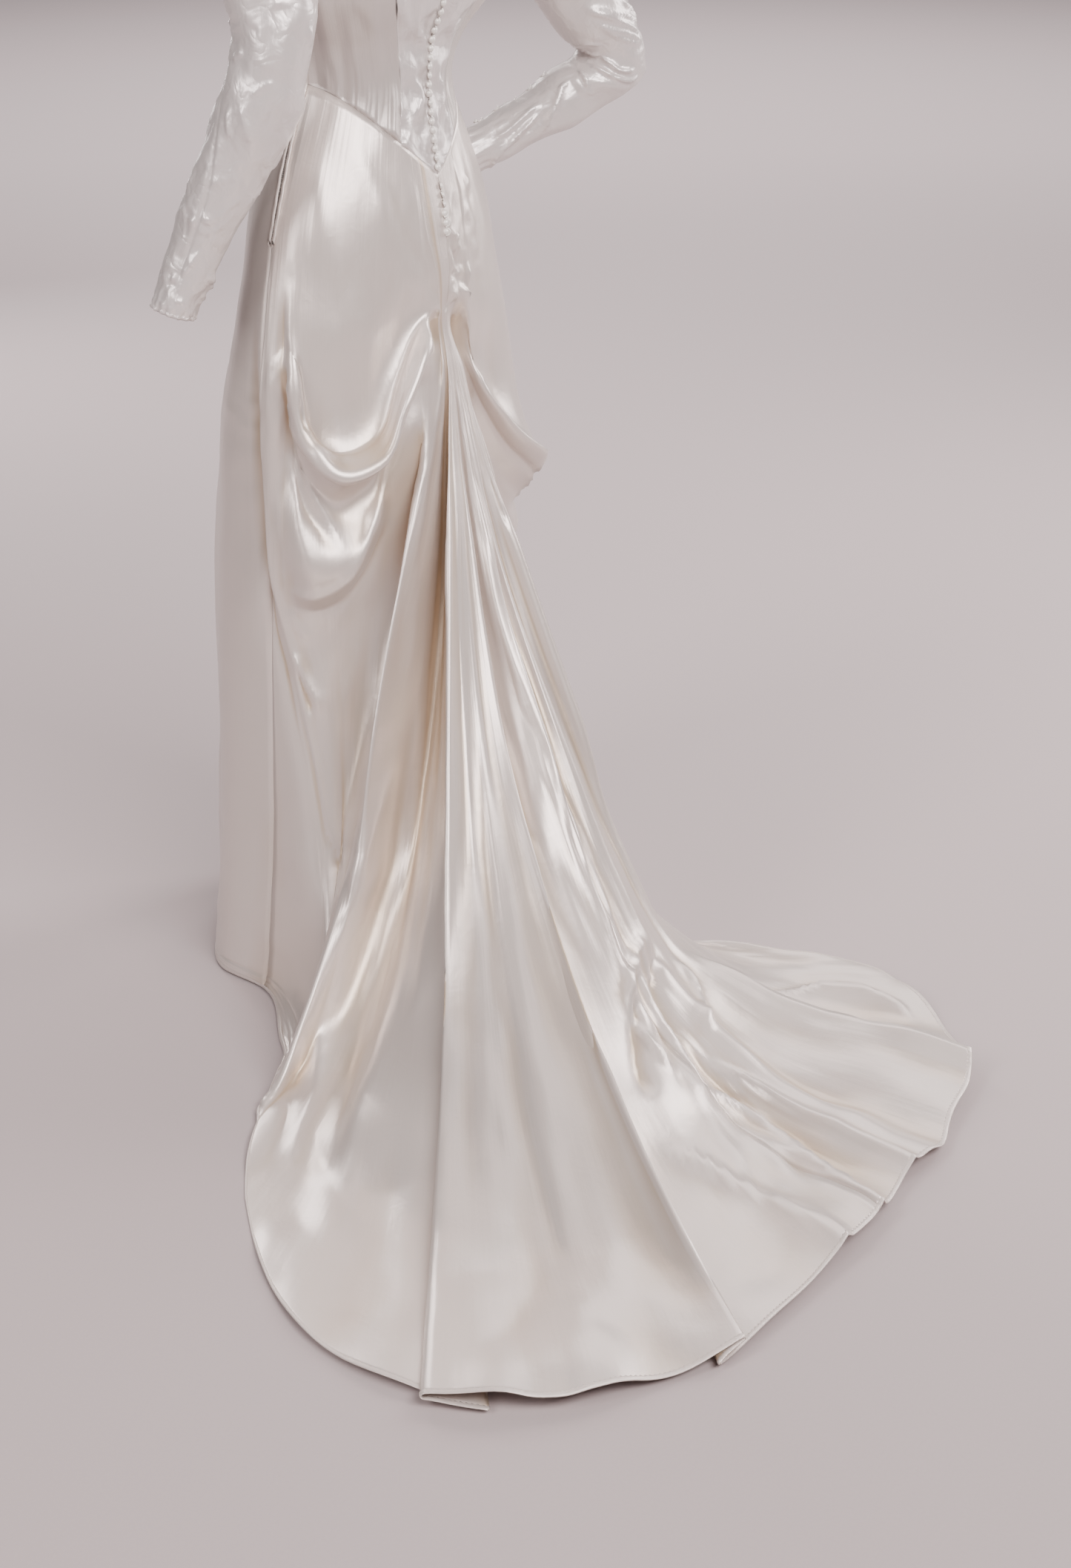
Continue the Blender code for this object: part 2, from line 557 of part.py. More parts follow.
def zip_slider(name, at, out, material):
    """Slider at rest at the top of the zip, its pull hanging flat below it."""
    bm = bmesh.new()
    bmesh.ops.create_cube(bm, size=1.0)
    bmesh.ops.scale(bm, vec=(0.0050, 0.0080, 0.0024), verts=bm.verts)
    low = [f for f in bm.faces if f.normal.y < -0.5]
    for inset, length in ((0.0006, 0.0015), (0.0, 0.0120)):
        bmesh.ops.inset_region(bm, faces=low, thickness=inset, use_even_offset=True)
        tip = bmesh.ops.extrude_face_region(bm, geom=low)["geom"]
        moved = [g for g in tip if isinstance(g, bmesh.types.BMVert)]
        bmesh.ops.translate(bm, vec=(0.0, -length, 0.0), verts=moved)
        bmesh.ops.delete(bm, geom=low, context="FACES_ONLY")
        low = [g for g in tip if isinstance(g, bmesh.types.BMFace)]
    bmesh.ops.remove_doubles(bm, verts=bm.verts, dist=0.00005)
    piece = add_object(name, bm, material, smooth=False)
    piece.rotation_mode = "QUATERNION"
    piece.rotation_quaternion = Vector(out).to_track_quat("Z", "Y")
    piece.location = at + out * (0.0008 + SEAM_GAP + 0.0012)
    return piece


for old in list(bpy.data.objects):
    bpy.data.objects.remove(old, do_unlink=True)

frame = bpy.data.objects.new("frame", None)
frame.location = (0.0, 0.0, -HOLD_HEIGHT)
bpy.context.scene.collection.objects.link(frame)

ivory = satin("ivory_satin", (0.86, 0.83, 0.77))
white = satin("bodice_satin", (0.88, 0.86, 0.83))
button_satin = satin("button_satin", (0.90, 0.88, 0.84), 0.35)
tape = satin("zip_tape", (0.72, 0.70, 0.66), 0.80)
metal = satin("zip_metal", (0.62, 0.62, 0.60), 0.35)
metal.node_tree.nodes["Principled BSDF"].inputs["Metallic"].default_value = 1.0

# Skirt: one surface, parted at the back seam and the side seams.
skirt, skirt_normal, seam, right = skirt_surface(COLUMNS_PER_FOLD, SPANS)
wrap = np.concatenate([skirt, skirt[:, :1]], 1)
wrap_normal = np.concatenate([skirt_normal, skirt_normal[:, :1]], 1)
for name, first, last in (("skirt_back_left", 0, seam), ("skirt_back_right", seam, right),
                          ("skirt_front", right, skirt.shape[1])):
    panel = trimmed(wrap[:, first:last + 1], ("top", "first", "last"))
    cloth_solid(name, panel, wrap_normal[:, first:last + 1], ivory)

# Bodice: front, side backs and centre backs.
bodice = {}
for name in BODICE:
    bodice[name] = bodice_panel(*BODICE[name])
    cloth_solid(name, *bodice[name], white)

# Sleeves and their cuff buttons.
for word, arm, side in (("left", LEFT_ARM, 1), ("right", RIGHT_ARM, -1)):
    sleeve, outward = sleeve_surface(arm, side, SLEEVE_SIDES, 2)
    cloth_solid("sleeve_" + word, sleeve, outward, white, closed=True)
    cuff_button("cuff_button_" + word, sleeve, outward, 9, 1, button_satin)

# Back closure: two rows of covered buttons, above and below the point of the waist.
point = WAIST_SIDE - WAIST_DIP
centre = [surface[:, -1] for surface in bodice["bodice_centre_back_left"]]
button_row("back_buttons_bodice", column_line(centre), point + 0.003, 1.432, button_satin)
centre = (skirt[:14, seam], skirt_normal[:14, seam])
button_row("back_buttons_skirt", column_line(centre), 0.912, point - 0.004, button_satin)

# Zip in the left side seam, run a little above the waist.
side = [surface[:, 0] for surface in bodice["bodice_side_back_left"]]
side = column_line((skirt[:14, 0], skirt_normal[:14, 0]), side)
zip_points, zip_out = on_line(side, np.linspace(0.917, 1.130, 14), SEAM_GAP + 0.0007)
ribbon("side_zip", zip_points, zip_out, 0.008, 0.0008, tape)
zip_slider("zip_slider", zip_points[-2], zip_out[-2], metal)
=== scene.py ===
# %% [markdown]
# A long-sleeved satin wedding gown, worn shape, seen from behind.
# The bodice and sleeves are close to the body, two swags on the hips are gathered to one
# point behind, and a bias train falls from that point and spreads over the floor.
# Each sheet of cloth here is a grid whose points are moved on to a form that is worked out
# in numbers, because a photographed dress has folds of its own that no simulation repeats.

# %% Load the fixed frame
import math

import bmesh
import bpy
import numpy as np
from mathutils import Matrix, Vector


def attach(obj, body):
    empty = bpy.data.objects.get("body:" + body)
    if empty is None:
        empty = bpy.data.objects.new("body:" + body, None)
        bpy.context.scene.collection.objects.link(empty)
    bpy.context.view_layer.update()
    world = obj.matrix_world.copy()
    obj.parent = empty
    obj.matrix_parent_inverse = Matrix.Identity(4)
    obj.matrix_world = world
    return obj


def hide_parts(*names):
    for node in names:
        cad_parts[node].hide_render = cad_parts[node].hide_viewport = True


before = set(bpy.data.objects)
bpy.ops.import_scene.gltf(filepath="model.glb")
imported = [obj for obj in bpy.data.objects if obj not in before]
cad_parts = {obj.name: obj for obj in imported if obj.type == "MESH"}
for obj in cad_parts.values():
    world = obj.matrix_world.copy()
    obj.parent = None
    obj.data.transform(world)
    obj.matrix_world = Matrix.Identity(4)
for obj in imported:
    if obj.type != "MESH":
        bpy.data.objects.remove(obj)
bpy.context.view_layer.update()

HOLD_HEIGHT = 1.40       # the frame's origin is this far above the floor

# %% [markdown]
# The camera stands behind the wearer's left shoulder and looks down at the train.
# It is turned a little away from the dress, so the train has room on the right.

# %% Camera
CAMERA_AZIMUTH, CAMERA_TURN, CAMERA_PITCH = 50.0, 3.7, 23.4
CAMERA_REACH, CAMERA_HEIGHT, FOCAL_PIXELS = 2.96, 1.48, 3400


def aim_camera():
    around, turn, pitch = (math.radians(a) for a in (CAMERA_AZIMUTH, CAMERA_TURN, CAMERA_PITCH))
    out = Vector((math.sin(around), math.cos(around), 0))
    right = Vector((-math.cos(around), math.sin(around), 0))
    level = -out * math.cos(turn) + right * math.sin(turn)
    side = level.cross(Vector((0, 0, 1)))
    ahead = level * math.cos(pitch) - Vector((0, 0, 1)) * math.sin(pitch)
    up = side.cross(ahead)
    data = bpy.data.cameras.new("camera")
    data.sensor_fit, data.sensor_height = "VERTICAL", 36
    data.lens = FOCAL_PIXELS / 2116 * 36
    camera = bpy.data.objects.new("camera", data)
    bpy.context.scene.collection.objects.link(camera)
    turned = Matrix((side, up, -ahead)).transposed().to_4x4()
    place = out * CAMERA_REACH + Vector((0, 0, CAMERA_HEIGHT - HOLD_HEIGHT))
    camera.matrix_world = Matrix.Translation(place) @ turned
    bpy.context.scene.camera = camera
    return camera


camera = aim_camera()
print("camera at", [round(c, 3) for c in camera.location])

# %% [markdown]
# A real gown is drafted from body measures, so the body comes first: sections with a half
# width, a depth to the front and back, and a squareness. Curves through tables like this
# one are easy to check against a tape measure, which a sculpted form isn't.

# %% Sections of the body
WAIST_SIDE, WAIST_DIP, NECK_HEIGHT, FRONT_NECK_DROP = 1.083, 0.103, 1.440, 0.030
GATHER_HEIGHT, GATHER_FOOT, GATHER_WIDTH = 0.818, (-0.005, 0.112), 0.022
PRINCESS_ANGLE = 68.0
ARMHOLE = dict(centre=1.331, half_height=0.061, half_angle=26.0)
BODY = np.array((
    (0.000, 0.233, 0.222, 0.118, 2.0),
    (0.050, 0.226, 0.220, 0.118, 2.0),
    (0.150, 0.216, 0.216, 0.118, 2.0),
    (0.300, 0.207, 0.212, 0.118, 2.0),
    (0.500, 0.200, 0.206, 0.118, 2.0),
    (0.700, 0.195, 0.180, 0.116, 2.0),
    (0.820, 0.187, 0.140, 0.113, 2.0),
    (0.917, 0.174, 0.118, 0.109, 2.0),
    (0.980, 0.150, 0.106, 0.099, 2.0),
    (1.030, 0.124, 0.096, 0.091, 2.0),
    (1.083, 0.107, 0.088, 0.087, 2.0),
    (1.120, 0.118, 0.094, 0.091, 2.2),
    (1.180, 0.155, 0.114, 0.113, 2.8),
    (1.250, 0.167, 0.128, 0.121, 2.8),
    (1.310, 0.170, 0.116, 0.113, 2.5),
    (1.360, 0.173, 0.092, 0.097, 2.2),
    (1.392, 0.168, 0.074, 0.080, 2.0),
    (1.405, 0.142, 0.068, 0.070, 2.0),
    (1.420, 0.106, 0.062, 0.061, 2.0),
    (1.440, 0.062, 0.056, 0.050, 2.0),
))


def along(knots, values, x):
    """Smooth curve through values at knots, read at x."""
    k = np.asarray(knots, float)
    v = np.asarray(values, float)
    x = np.clip(np.asarray(x, float), k[0], k[-1])
    w = np.diff(k)
    slope = np.diff(v) / w
    inner = (slope[:-1] * w[1:] + slope[1:] * w[:-1]) / (w[1:] + w[:-1])
    m = np.concatenate([slope[:1], inner, slope[-1:]])
    i = np.clip(np.searchsorted(k, x, side="right") - 1, 0, len(k) - 2)
    t, h = (x - k[i]) / w[i], w[i]
    return ((2*t**3 - 3*t**2 + 1) * v[i] + (t**3 - 2*t**2 + t) * h * m[i]
            + (3*t**2 - 2*t**3) * v[i+1] + (t**3 - t**2) * h * m[i+1])


def body_point(angle, z, out=0.0):
    """Point of the body at an angle round from its left side, out along its normal."""
    angle, z, out = np.broadcast_arrays(np.radians(angle), z, out)
    half, front, back, square = (along(BODY[:, 0], BODY[:, c], z) for c in (1, 2, 3, 4))
    depth = np.where(np.sin(angle) > 0, back, front)
    x = half * np.sign(np.cos(angle)) * np.abs(np.cos(angle)) ** (2 / square)
    y = depth * np.sign(np.sin(angle)) * np.abs(np.sin(angle)) ** (2 / square)
    pull = 0.007 * np.exp(-((z - GATHER_HEIGHT) / 0.040)**2) * np.exp(-(x / 0.022)**2)
    y = y - np.where(np.sin(angle) > 0, pull, 0.0)
    nx, ny = np.cos(angle) / half, np.sin(angle) / depth
    size = np.hypot(nx, ny)
    return np.stack([x + out * nx / size, y + out * ny / size, z + 0.0 * x], -1)


def waist_height(angle):
    """Waist seam, level in front and dipping to a point behind."""
    back = np.clip(np.sin(np.radians(angle)), 0.0, 1.0)
    return WAIST_SIDE - WAIST_DIP * (np.degrees(np.arcsin(back)) / 90.0)**1.7


def neck_height(angle):
    front = np.clip(-np.sin(np.radians(angle)), 0.0, 1.0)
    return NECK_HEIGHT - FRONT_NECK_DROP * front**2


print("waist", round(float(waist_height(0)), 3), "falling to", round(float(waist_height(90)), 3))

# %% [markdown]
# The skirt could be simulated, but the swags and the train fall in folds that the cutter
# planned and the wearer's step placed. Here each fold is a rail, a line of stations from
# the waist to the hem, and the cloth is a smooth surface through all the rails. An edge
# that doubles under itself on the floor is three rails that run out, back and out again.

# %% Fold lines of the skirt
DRAPE = ("angle", "dent", "crest_z", "crest_out", "under_z", "under_out", "cowl_z", "cowl_out",
         "tuck_z", "tuck_out", "hem_x", "hem_y", "fall", "bow")
LEFT_DRAPES = (
    (0.0, 0.001, 0.760, 0.002, 0.700, 0.001, 0.600, 0.001, 0.480, 0.000, 0.231, -0.010, 1.0, 0.000),
    (4.0, 0.003, 0.770, 0.005, 0.700, 0.004, 0.600, 0.003, 0.480, -0.002, 0.320, 0.095, 1.0, 0.046),
    (12.0, 0.002, 0.785, 0.006, 0.735, -0.005, 0.580, 0.010, 0.490, -0.006, 0.346, 0.124, 1.3, 0.040),
    (24.0, 0.008, 0.705, 0.020, 0.660, -0.002, 0.552, 0.026, 0.488, -0.006, 0.366, 0.136, 1.6, 0.036),
    (37.0, 0.010, 0.668, 0.036, 0.625, -0.006, 0.556, 0.020, 0.490, -0.012, 0.392, 0.150, 1.5, 0.014),
    (50.0, 0.008, 0.678, 0.038, 0.634, -0.008, 0.582, 0.006, 0.516, -0.014, 0.417, 0.165, 1.2, 0.000),
    (62.0, 0.002, 0.744, 0.032, 0.702, -0.010, 0.652, -0.004, 0.556, -0.010, 0.440, 0.177, 0.9, 0.000),
    (74.0, -0.002, 0.798, 0.018, 0.764, -0.008, 0.700, 0.000, 0.590, 0.000, 0.462, 0.189, 0.7, 0.000),
)
RIGHT_DRAPES = (
    (104.0, 0.003, 0.722, 0.016, 0.686, -0.004, 0.642, 0.000, 0.560, -0.010, -0.180, 0.300, 1.3, 0.0),
    (117.0, 0.016, 0.664, 0.034, 0.618, 0.002, 0.580, -0.002, 0.522, -0.020, -0.192, 0.258, 1.5, 0.0),
    (130.0, 0.034, 0.628, 0.052, 0.574, 0.016, 0.538, 0.008, 0.480, -0.018, -0.205, 0.212, 1.5, 0.0),
    (143.0, 0.036, 0.612, 0.048, 0.560, 0.008, 0.520, 0.018, 0.450, -0.010, -0.216, 0.166, 1.4, 0.0),
    (156.0, 0.018, 0.650, 0.026, 0.600, -0.002, 0.520, 0.022, 0.460, -0.002, -0.226, 0.118, 1.2, 0.0),
    (167.0, 0.005, 0.740, 0.008, 0.690, 0.000, 0.560, 0.012, 0.470, 0.004, -0.232, 0.070, 1.0, 0.0),
    (175.0, 0.004, 0.770, 0.004, 0.700, 0.004, 0.600, 0.007, 0.480, 0.009, -0.234, 0.028, 1.0, 0.0),
    (180.0, 0.001, 0.760, 0.002, 0.700, 0.001, 0.600, 0.001, 0.480, 0.000, -0.231, -0.010, 1.0, 0.0),
)
# Place at the gather, hem point, reach from the gather at 60, 40, 20, 8 and 2 cm up, lift.
TRAIN = ("place", "hem_x", "hem_y", "r60", "r40", "r20", "r08", "r02", "lift")
LEFT_TRAIN = (
    (1.00, 0.480, 0.199, 0.098, 0.200, 0.262, 0.335, 0.390, 0.006),
    (0.92, 0.584, 0.277, 0.050, 0.130, 0.210, 0.300, 0.410, 0.000),
    (0.82, 0.684, 0.384, 0.030, 0.096, 0.196, 0.320, 0.460, 0.000),
    (0.74, 0.752, 0.500, 0.028, 0.098, 0.225, 0.380, 0.550, 0.000),
    (0.69, 0.768, 0.600, 0.034, 0.112, 0.262, 0.430, 0.600, 0.000),
    (0.64, 0.737, 0.725, 0.050, 0.145, 0.300, 0.470, 0.640, 0.004),
    (0.60, 0.768, 0.664, 0.082, 0.198, 0.345, 0.505, 0.655, 0.014),
    (0.55, 0.722, 0.748, 0.072, 0.182, 0.335, 0.505, 0.680, 0.012),
    (0.48, 0.688, 0.786, 0.067, 0.172, 0.330, 0.500, 0.680, 0.000),
    (0.42, 0.641, 0.810, 0.062, 0.166, 0.345, 0.560, 0.740, 0.004),
    (0.34, 0.580, 0.846, 0.056, 0.158, 0.350, 0.560, 0.755, 0.002),
    (0.28, 0.515, 0.868, 0.053, 0.156, 0.378, 0.615, 0.790, 0.024),
    (0.22, 0.556, 0.862, 0.044, 0.138, 0.335, 0.555, 0.750, 0.008),
    (0.16, 0.446, 0.871, 0.033, 0.114, 0.280, 0.450, 0.640, 0.000),
    (0.08, 0.320, 0.865, 0.046, 0.150, 0.300, 0.450, 0.590, 0.014),
    (0.00, 0.241, 0.866, 0.048, 0.168, 0.298, 0.420, 0.520, 0.003),
)
RIGHT_TRAIN = (
    (0.08, 0.175, 0.850, 0.040, 0.148, 0.272, 0.385, 0.490, 0.000),
    (0.16, 0.117, 0.843, 0.050, 0.156, 0.272, 0.380, 0.500, 0.020),
    (0.24, 0.078, 0.858, 0.046, 0.146, 0.256, 0.358, 0.480, 0.004),
    (0.32, 0.030, 0.826, 0.046, 0.136, 0.240, 0.340, 0.460, 0.000),
    (0.42, -0.050, 0.820, 0.054, 0.140, 0.234, 0.322, 0.446, 0.010),
    (0.52, -0.100, 0.794, 0.062, 0.146, 0.230, 0.307, 0.430, 0.018),
    (0.60, -0.146, 0.750, 0.052, 0.126, 0.208, 0.280, 0.400, 0.000),
    (0.68, -0.214, 0.684, 0.050, 0.120, 0.196, 0.262, 0.360, 0.010),
    (0.76, -0.260, 0.596, 0.046, 0.112, 0.186, 0.245, 0.330, 0.000),
    (0.84, -0.254, 0.501, 0.044, 0.104, 0.174, 0.228, 0.296, 0.006),
    (0.92, -0.216, 0.412, 0.040, 0.096, 0.160, 0.208, 0.262, 0.000),
    (1.00, -0.178, 0.347, 0.036, 0.086, 0.142, 0.184, 0.226, 0.004),
)
FRONT_FLUTES = ((203.0, 0.006), (226.0, -0.005), (248.0, 0.005), (270.0, -0.003),
                (292.0, 0.005), (314.0, -0.005), (337.0, 0.006))
FALL_LEVELS, FALL_SHARE = (0.38, 0.20, 0.08, 0.02), (0.10, 0.36, 0.66, 0.87)
HEM_REST, FLOOR_REST = 0.0030, 0.0012
ROWS = (14, 12, 7, 9, 18, 20, 16, 16, 22, 18, 18, 34)
COLUMNS = 8


def drape_rail(row):
    """Stations of one fall line of a hip drape, waist to hem."""
    r = dict(zip(DRAPE, row))
    angle = r["angle"]
    stations = [body_point(angle, waist_height(angle)), body_point(angle, 0.935, 0.001),
                body_point(angle, r["crest_z"] + 0.6 * (0.935 - r["crest_z"]),
                           0.25 * max(r["dent"], 0)),
                body_point(angle, r["crest_z"] + 0.024, r["dent"])]
    for fold in ("crest", "under", "cowl", "tuck"):
        stations.append(body_point(angle, r[fold + "_z"], r[fold + "_out"]))
    tuck, hem = stations[-1], np.array([r["hem_x"], r["hem_y"], 0.0])
    across = np.array([tuck[1] - hem[1], hem[0] - tuck[0], 0.0])
    across = across / np.linalg.norm(across) * r["bow"]
    for level, share in zip(FALL_LEVELS, FALL_SHARE):
        p = tuck + (hem - tuck) * share ** r["fall"] + across * 4 * share * (1 - share)
        stations.append(np.array([p[0], p[1], level]))
    stations.append(np.array([hem[0], hem[1], HEM_REST]))
    return np.array(stations)


def train_rail(row, side):
    """Stations of one train fold; place runs from 1 beside the drape to 0 at the seam."""
    r = dict(zip(TRAIN, row))
    place = r["place"]
    foot, hem = np.array(GATHER_FOOT), np.array([r["hem_x"], r["hem_y"]])
    ahead = (hem - foot) / np.linalg.norm(hem - foot)
    waist_angle, hip_angle = 90.0 - side * place * 13.0, 90.0 - side * place * 10.0
    squeeze = side * place * GATHER_WIDTH / 2
    stations = [body_point(waist_angle, waist_height(waist_angle)),
                body_point(hip_angle, 0.920, 0.001),
                body_point(90.0 - side * place * 6.0, 0.865, 0.002),
                body_point(90.0 - side * place * 4.5, GATHER_HEIGHT + 0.020, 0.002),
                body_point(90.0, GATHER_HEIGHT, 0.003)
                + np.array([squeeze, -abs(squeeze)**2 * 30, 0])]
    mean = 0.056
    for z, out, keep in ((0.755, 0.17 * (0.65 * mean + 0.35 * r["r60"]), 0.85),
                         (0.680, 0.55 * (0.35 * mean + 0.65 * r["r60"]), 0.60),
                         (0.560, r["r60"] + 0.20 * (r["r40"] - r["r60"]), 0.30),
                         (0.380, r["r40"] + 0.06 * (r["r20"] - r["r40"]), 0.10),
                         (0.200, r["r20"], 0.0), (0.080, r["r08"], 0.0)):
        p = foot + ahead * out + np.array([squeeze * keep, 0.0])
        stations.append(np.array([p[0], p[1], z]))
    p = foot + ahead * r["r02"]
    stations.append(np.array([p[0], p[1], 0.014 + r["lift"]]))
    stations.append(np.array([hem[0], hem[1], HEM_REST + 0.7 * r["lift"]]))
    return np.array(stations)


def front_rail(angle, flute):
    levels = (waist_height(angle), 0.935, 0.850, 0.800, 0.760, 0.700, 0.600, 0.480,
              0.380, 0.200, 0.080, 0.020, HEM_REST)
    return np.array([body_point(angle, z, flute * np.clip((0.95 - z) / 0.8, 0, 1))
                     for z in levels])


rails = [drape_rail(row) for row in LEFT_DRAPES] + [train_rail(row, 1) for row in LEFT_TRAIN]
SEAM = len(rails) - 1
rails += [train_rail(row, -1) for row in RIGHT_TRAIN] + [drape_rail(r) for r in RIGHT_DRAPES]
RIGHT = len(rails) - 1
rails = np.array(rails + [front_rail(*row) for row in FRONT_FLUTES])
print(len(rails), "fold lines, back seam at", SEAM, "and right side seam at", RIGHT)

# %% A smooth surface through the fold lines


def smooth_through(points, counts, closed=False):
    """Rows of points passed by a smooth curve, counts[i] steps in span i."""
    p = np.asarray(points, float)
    n = len(p)
    nxt = np.roll(p, -1, 0)
    step = np.linalg.norm(nxt - p, axis=-1, keepdims=True).clip(1e-7)
    slope = (nxt - p) / step
    before, size = np.roll(slope, 1, 0), np.roll(step, 1, 0)
    tangent = (before * step + slope * size) / (step + size)
    if not closed:
        tangent[0], tangent[-1] = slope[0], slope[-2]
    out = []
    for i in range(n if closed else n - 1):
        j = (i + 1) % n
        for k in range(counts[i]):
            t = k / counts[i]
            out.append((2*t**3 - 3*t**2 + 1) * p[i] + (t**3 - 2*t**2 + t) * step[i] * tangent[i]
                       + (3*t**2 - 2*t**3) * p[j] + (t**3 - t**2) * step[i] * tangent[j])
    if not closed:
        out.append(p[-1])
    return np.array(out)


def grid_normals(grid, closed):
    """Outward unit normals of a grid whose rows run down and columns run round."""
    down = np.gradient(grid, axis=0)
    across = ((np.roll(grid, -1, 1) - np.roll(grid, 1, 1)) / 2 if closed
              else np.gradient(grid, axis=1))
    normal = np.cross(down, across)
    return normal / np.linalg.norm(normal, axis=-1, keepdims=True).clip(1e-12)


rows = smooth_through(np.swapaxes(rails, 0, 1), ROWS)
ring = smooth_through(np.swapaxes(rows, 0, 1), [COLUMNS] * len(rails), closed=True)
skirt = np.swapaxes(ring, 0, 1).copy()


def eased(grid, amount, passes):
    """The grid with its columns averaged with their neighbours where amount is 1."""
    g = grid
    for _ in range(passes):
        beside = (np.roll(g, 1, 1) + np.roll(g, -1, 1)) / 2
        g = g + (beside - g) * amount[..., None] * 0.5
    return g


rail = np.broadcast_to(np.arange(skirt.shape[1]) / COLUMNS, skirt.shape[:2])
doubled = (np.exp(-((rail - 13.4) / 1.3)**4) + np.exp(-((rail - 19.4) / 1.2)**4)).clip(0, 1)
low = 1 - np.clip((skirt[..., 2] - 0.10) / 0.20, 0, 1)
skirt = eased(skirt, low * (1 - doubled) * (skirt[..., 1] > 0.30), 40)
above = np.clip((skirt[..., 2] - GATHER_HEIGHT - 0.01) / 0.03, 0, 1)
above *= np.clip((rail - 5) / 1.5, 0, 1) * np.clip((38 - rail) / 1.5, 0, 1)
back = slice(5 * COLUMNS, 38 * COLUMNS + 1)
for row in range(sum(ROWS[:4])):
    x, y = skirt[row, back, 0], skirt[row, back, 1]
    bowed = np.polyval(np.polyfit(x, y, 6, w=np.sqrt(np.abs(np.gradient(x)))), x)
    skirt[row, back, 1] += (bowed - y) * above[row, back]
skirt[..., 2] = np.maximum(skirt[..., 2], FLOOR_REST)
skirt_normal = grid_normals(skirt, closed=True)
print("skirt grid", skirt.shape[:2])

# %% [markdown]
# Cloth is never as smooth as a curve through its folds. Three kinds of relief go on top:
# soft clouds (a random lattice read through a cubic curve, the same on each run), long
# creases placed where the photograph shows them, and the puckers of a seam.

# %% Relief helpers


def cloud(u, v, cells_u, cells_v, seed):
    """Smooth random height over u and v from 0 to 1, about one unit deep."""
    lattice = np.random.default_rng(seed).normal(size=(cells_v + 4, cells_u + 4))
    x, y = np.clip(u, 0, 1) * cells_u, np.clip(v, 0, 1) * cells_v
    i, j = np.minimum(x.astype(int), cells_u - 1), np.minimum(y.astype(int), cells_v - 1)
    s, t = x - i, y - j

    def weights(f):
        return ((1 - f)**3 / 6, (3*f**3 - 6*f**2 + 4) / 6,
                (-3*f**3 + 3*f**2 + 3*f + 1) / 6, f**3 / 6)
    total = 0
    for a, wa in enumerate(weights(t)):
        for b, wb in enumerate(weights(s)):
            total = total + wa * wb * lattice[j + a, i + b]
    return total * 2.0


def crumple(u, v, cells_u, cells_v, seed):
    """Sharp ridges between soft dents, as in satin that has been sat on or packed."""
    n = cloud(u, v, cells_u, cells_v, seed)
    m = cloud(u, v, cells_u * 2 + 1, cells_v * 2 + 1, seed + 500)
    return 0.75 - np.sqrt(n * n + 0.02) * 1.2 + 0.35 * (0.6 - np.sqrt(m * m + 0.02))


def ramp(low, high, x):
    """0 below low, 1 above high, with soft ends."""
    t = np.clip((x - low) / (high - low), 0, 1)
    return t * t * (3 - 2 * t)


def laid(grid, normal, path, steps=2):
    """A path as a smooth line that lies on the grid."""
    line = smooth_through(path, [steps] * (len(path) - 1))
    flat, out = grid.reshape(-1, 3), normal.reshape(-1, 3)
    near = [np.argmin(np.sum((flat - p)**2, axis=1)) for p in line]
    return line - out[near] * np.sum((line - flat[near]) * out[near], axis=1, keepdims=True)


def crease(grid, normal, path, left, right, height, sharp=0.02):
    """Height of one crease along a path: how wide it is on each side, and how tall."""
    path = np.array(path, float)
    best = np.full(grid.shape[:2], 1e9)
    reach, off = np.zeros_like(best), np.zeros_like(best)
    run = np.concatenate([[0], np.cumsum(np.linalg.norm(np.diff(path, axis=0), axis=1))])
    for k in range(len(path) - 1):
        a, d = path[k], path[k + 1] - path[k]
        size = np.linalg.norm(d)
        t = np.clip(((grid - a) @ d) / size**2, 0, 1)
        away = grid - (a + t[..., None] * d)
        dist = np.linalg.norm(away, axis=-1)
        turn = np.sign(np.sum(np.cross(np.broadcast_to(d, grid.shape), normal) * away, -1))
        near = dist < best
        best = np.where(near, dist, best)
        off = np.where(near, turn * dist, off)
        reach = np.where(near, run[k] + t * size, reach)
    x = np.where(off < 0, off / left, off / right)
    ends = ramp(0, 0.22, reach / run[-1]) * ramp(0, 0.22, 1 - reach / run[-1])
    return height * ends * np.exp(-(np.sqrt(x * x + sharp) - math.sqrt(sharp)) * 1.7)


def strewn(grid, normal, seed, count, length, tall, wide, lean=0.0):
    """Many short creases over a grid, each at its own slant and depth."""
    rng = np.random.default_rng(seed)
    last_row, last_col = grid.shape[0] - 1, grid.shape[1] - 1
    down = np.linalg.norm(np.diff(grid, axis=0), axis=-1).mean()
    across = np.linalg.norm(np.diff(grid, axis=1), axis=-1).mean()
    total = np.zeros(grid.shape[:2])
    for _ in range(count):
        row, col = rng.uniform(0.02, 0.98) * last_row, rng.uniform(0.02, 0.98) * last_col
        slant = rng.choice((-1, 1)) * lean + rng.normal(0, 0.4)
        size, bow = length * rng.uniform(0.5, 1.4), rng.normal(0, 0.25)
        path = []
        for t in (-0.5, -0.17, 0.17, 0.5):
            i = row + math.cos(slant + bow * t) * size * t / down
            j = col + math.sin(slant + bow * t) * size * t / across
            path.append(grid[int(np.clip(i, 0, last_row)), int(np.clip(j, 0, last_col))])
        if min(np.linalg.norm(np.diff(path, axis=0), axis=1)) < 0.001:
            continue
        near, far = wide * rng.uniform(0.6, 1.5, 2)
        total += crease(grid, normal, path, near, far, tall * rng.uniform(-0.9, 1.5), 0.02)
    return total


print("relief helpers ready")

# %% [markdown]
# A sheet of cloth is a flat grid from bmesh, with its UV map, whose points are then moved
# on to the form. Solidify gives it the thickness of satin. The grid could be drawn face by
# face, but the operator lays faces and UVs in order, so a pattern follows the threads.

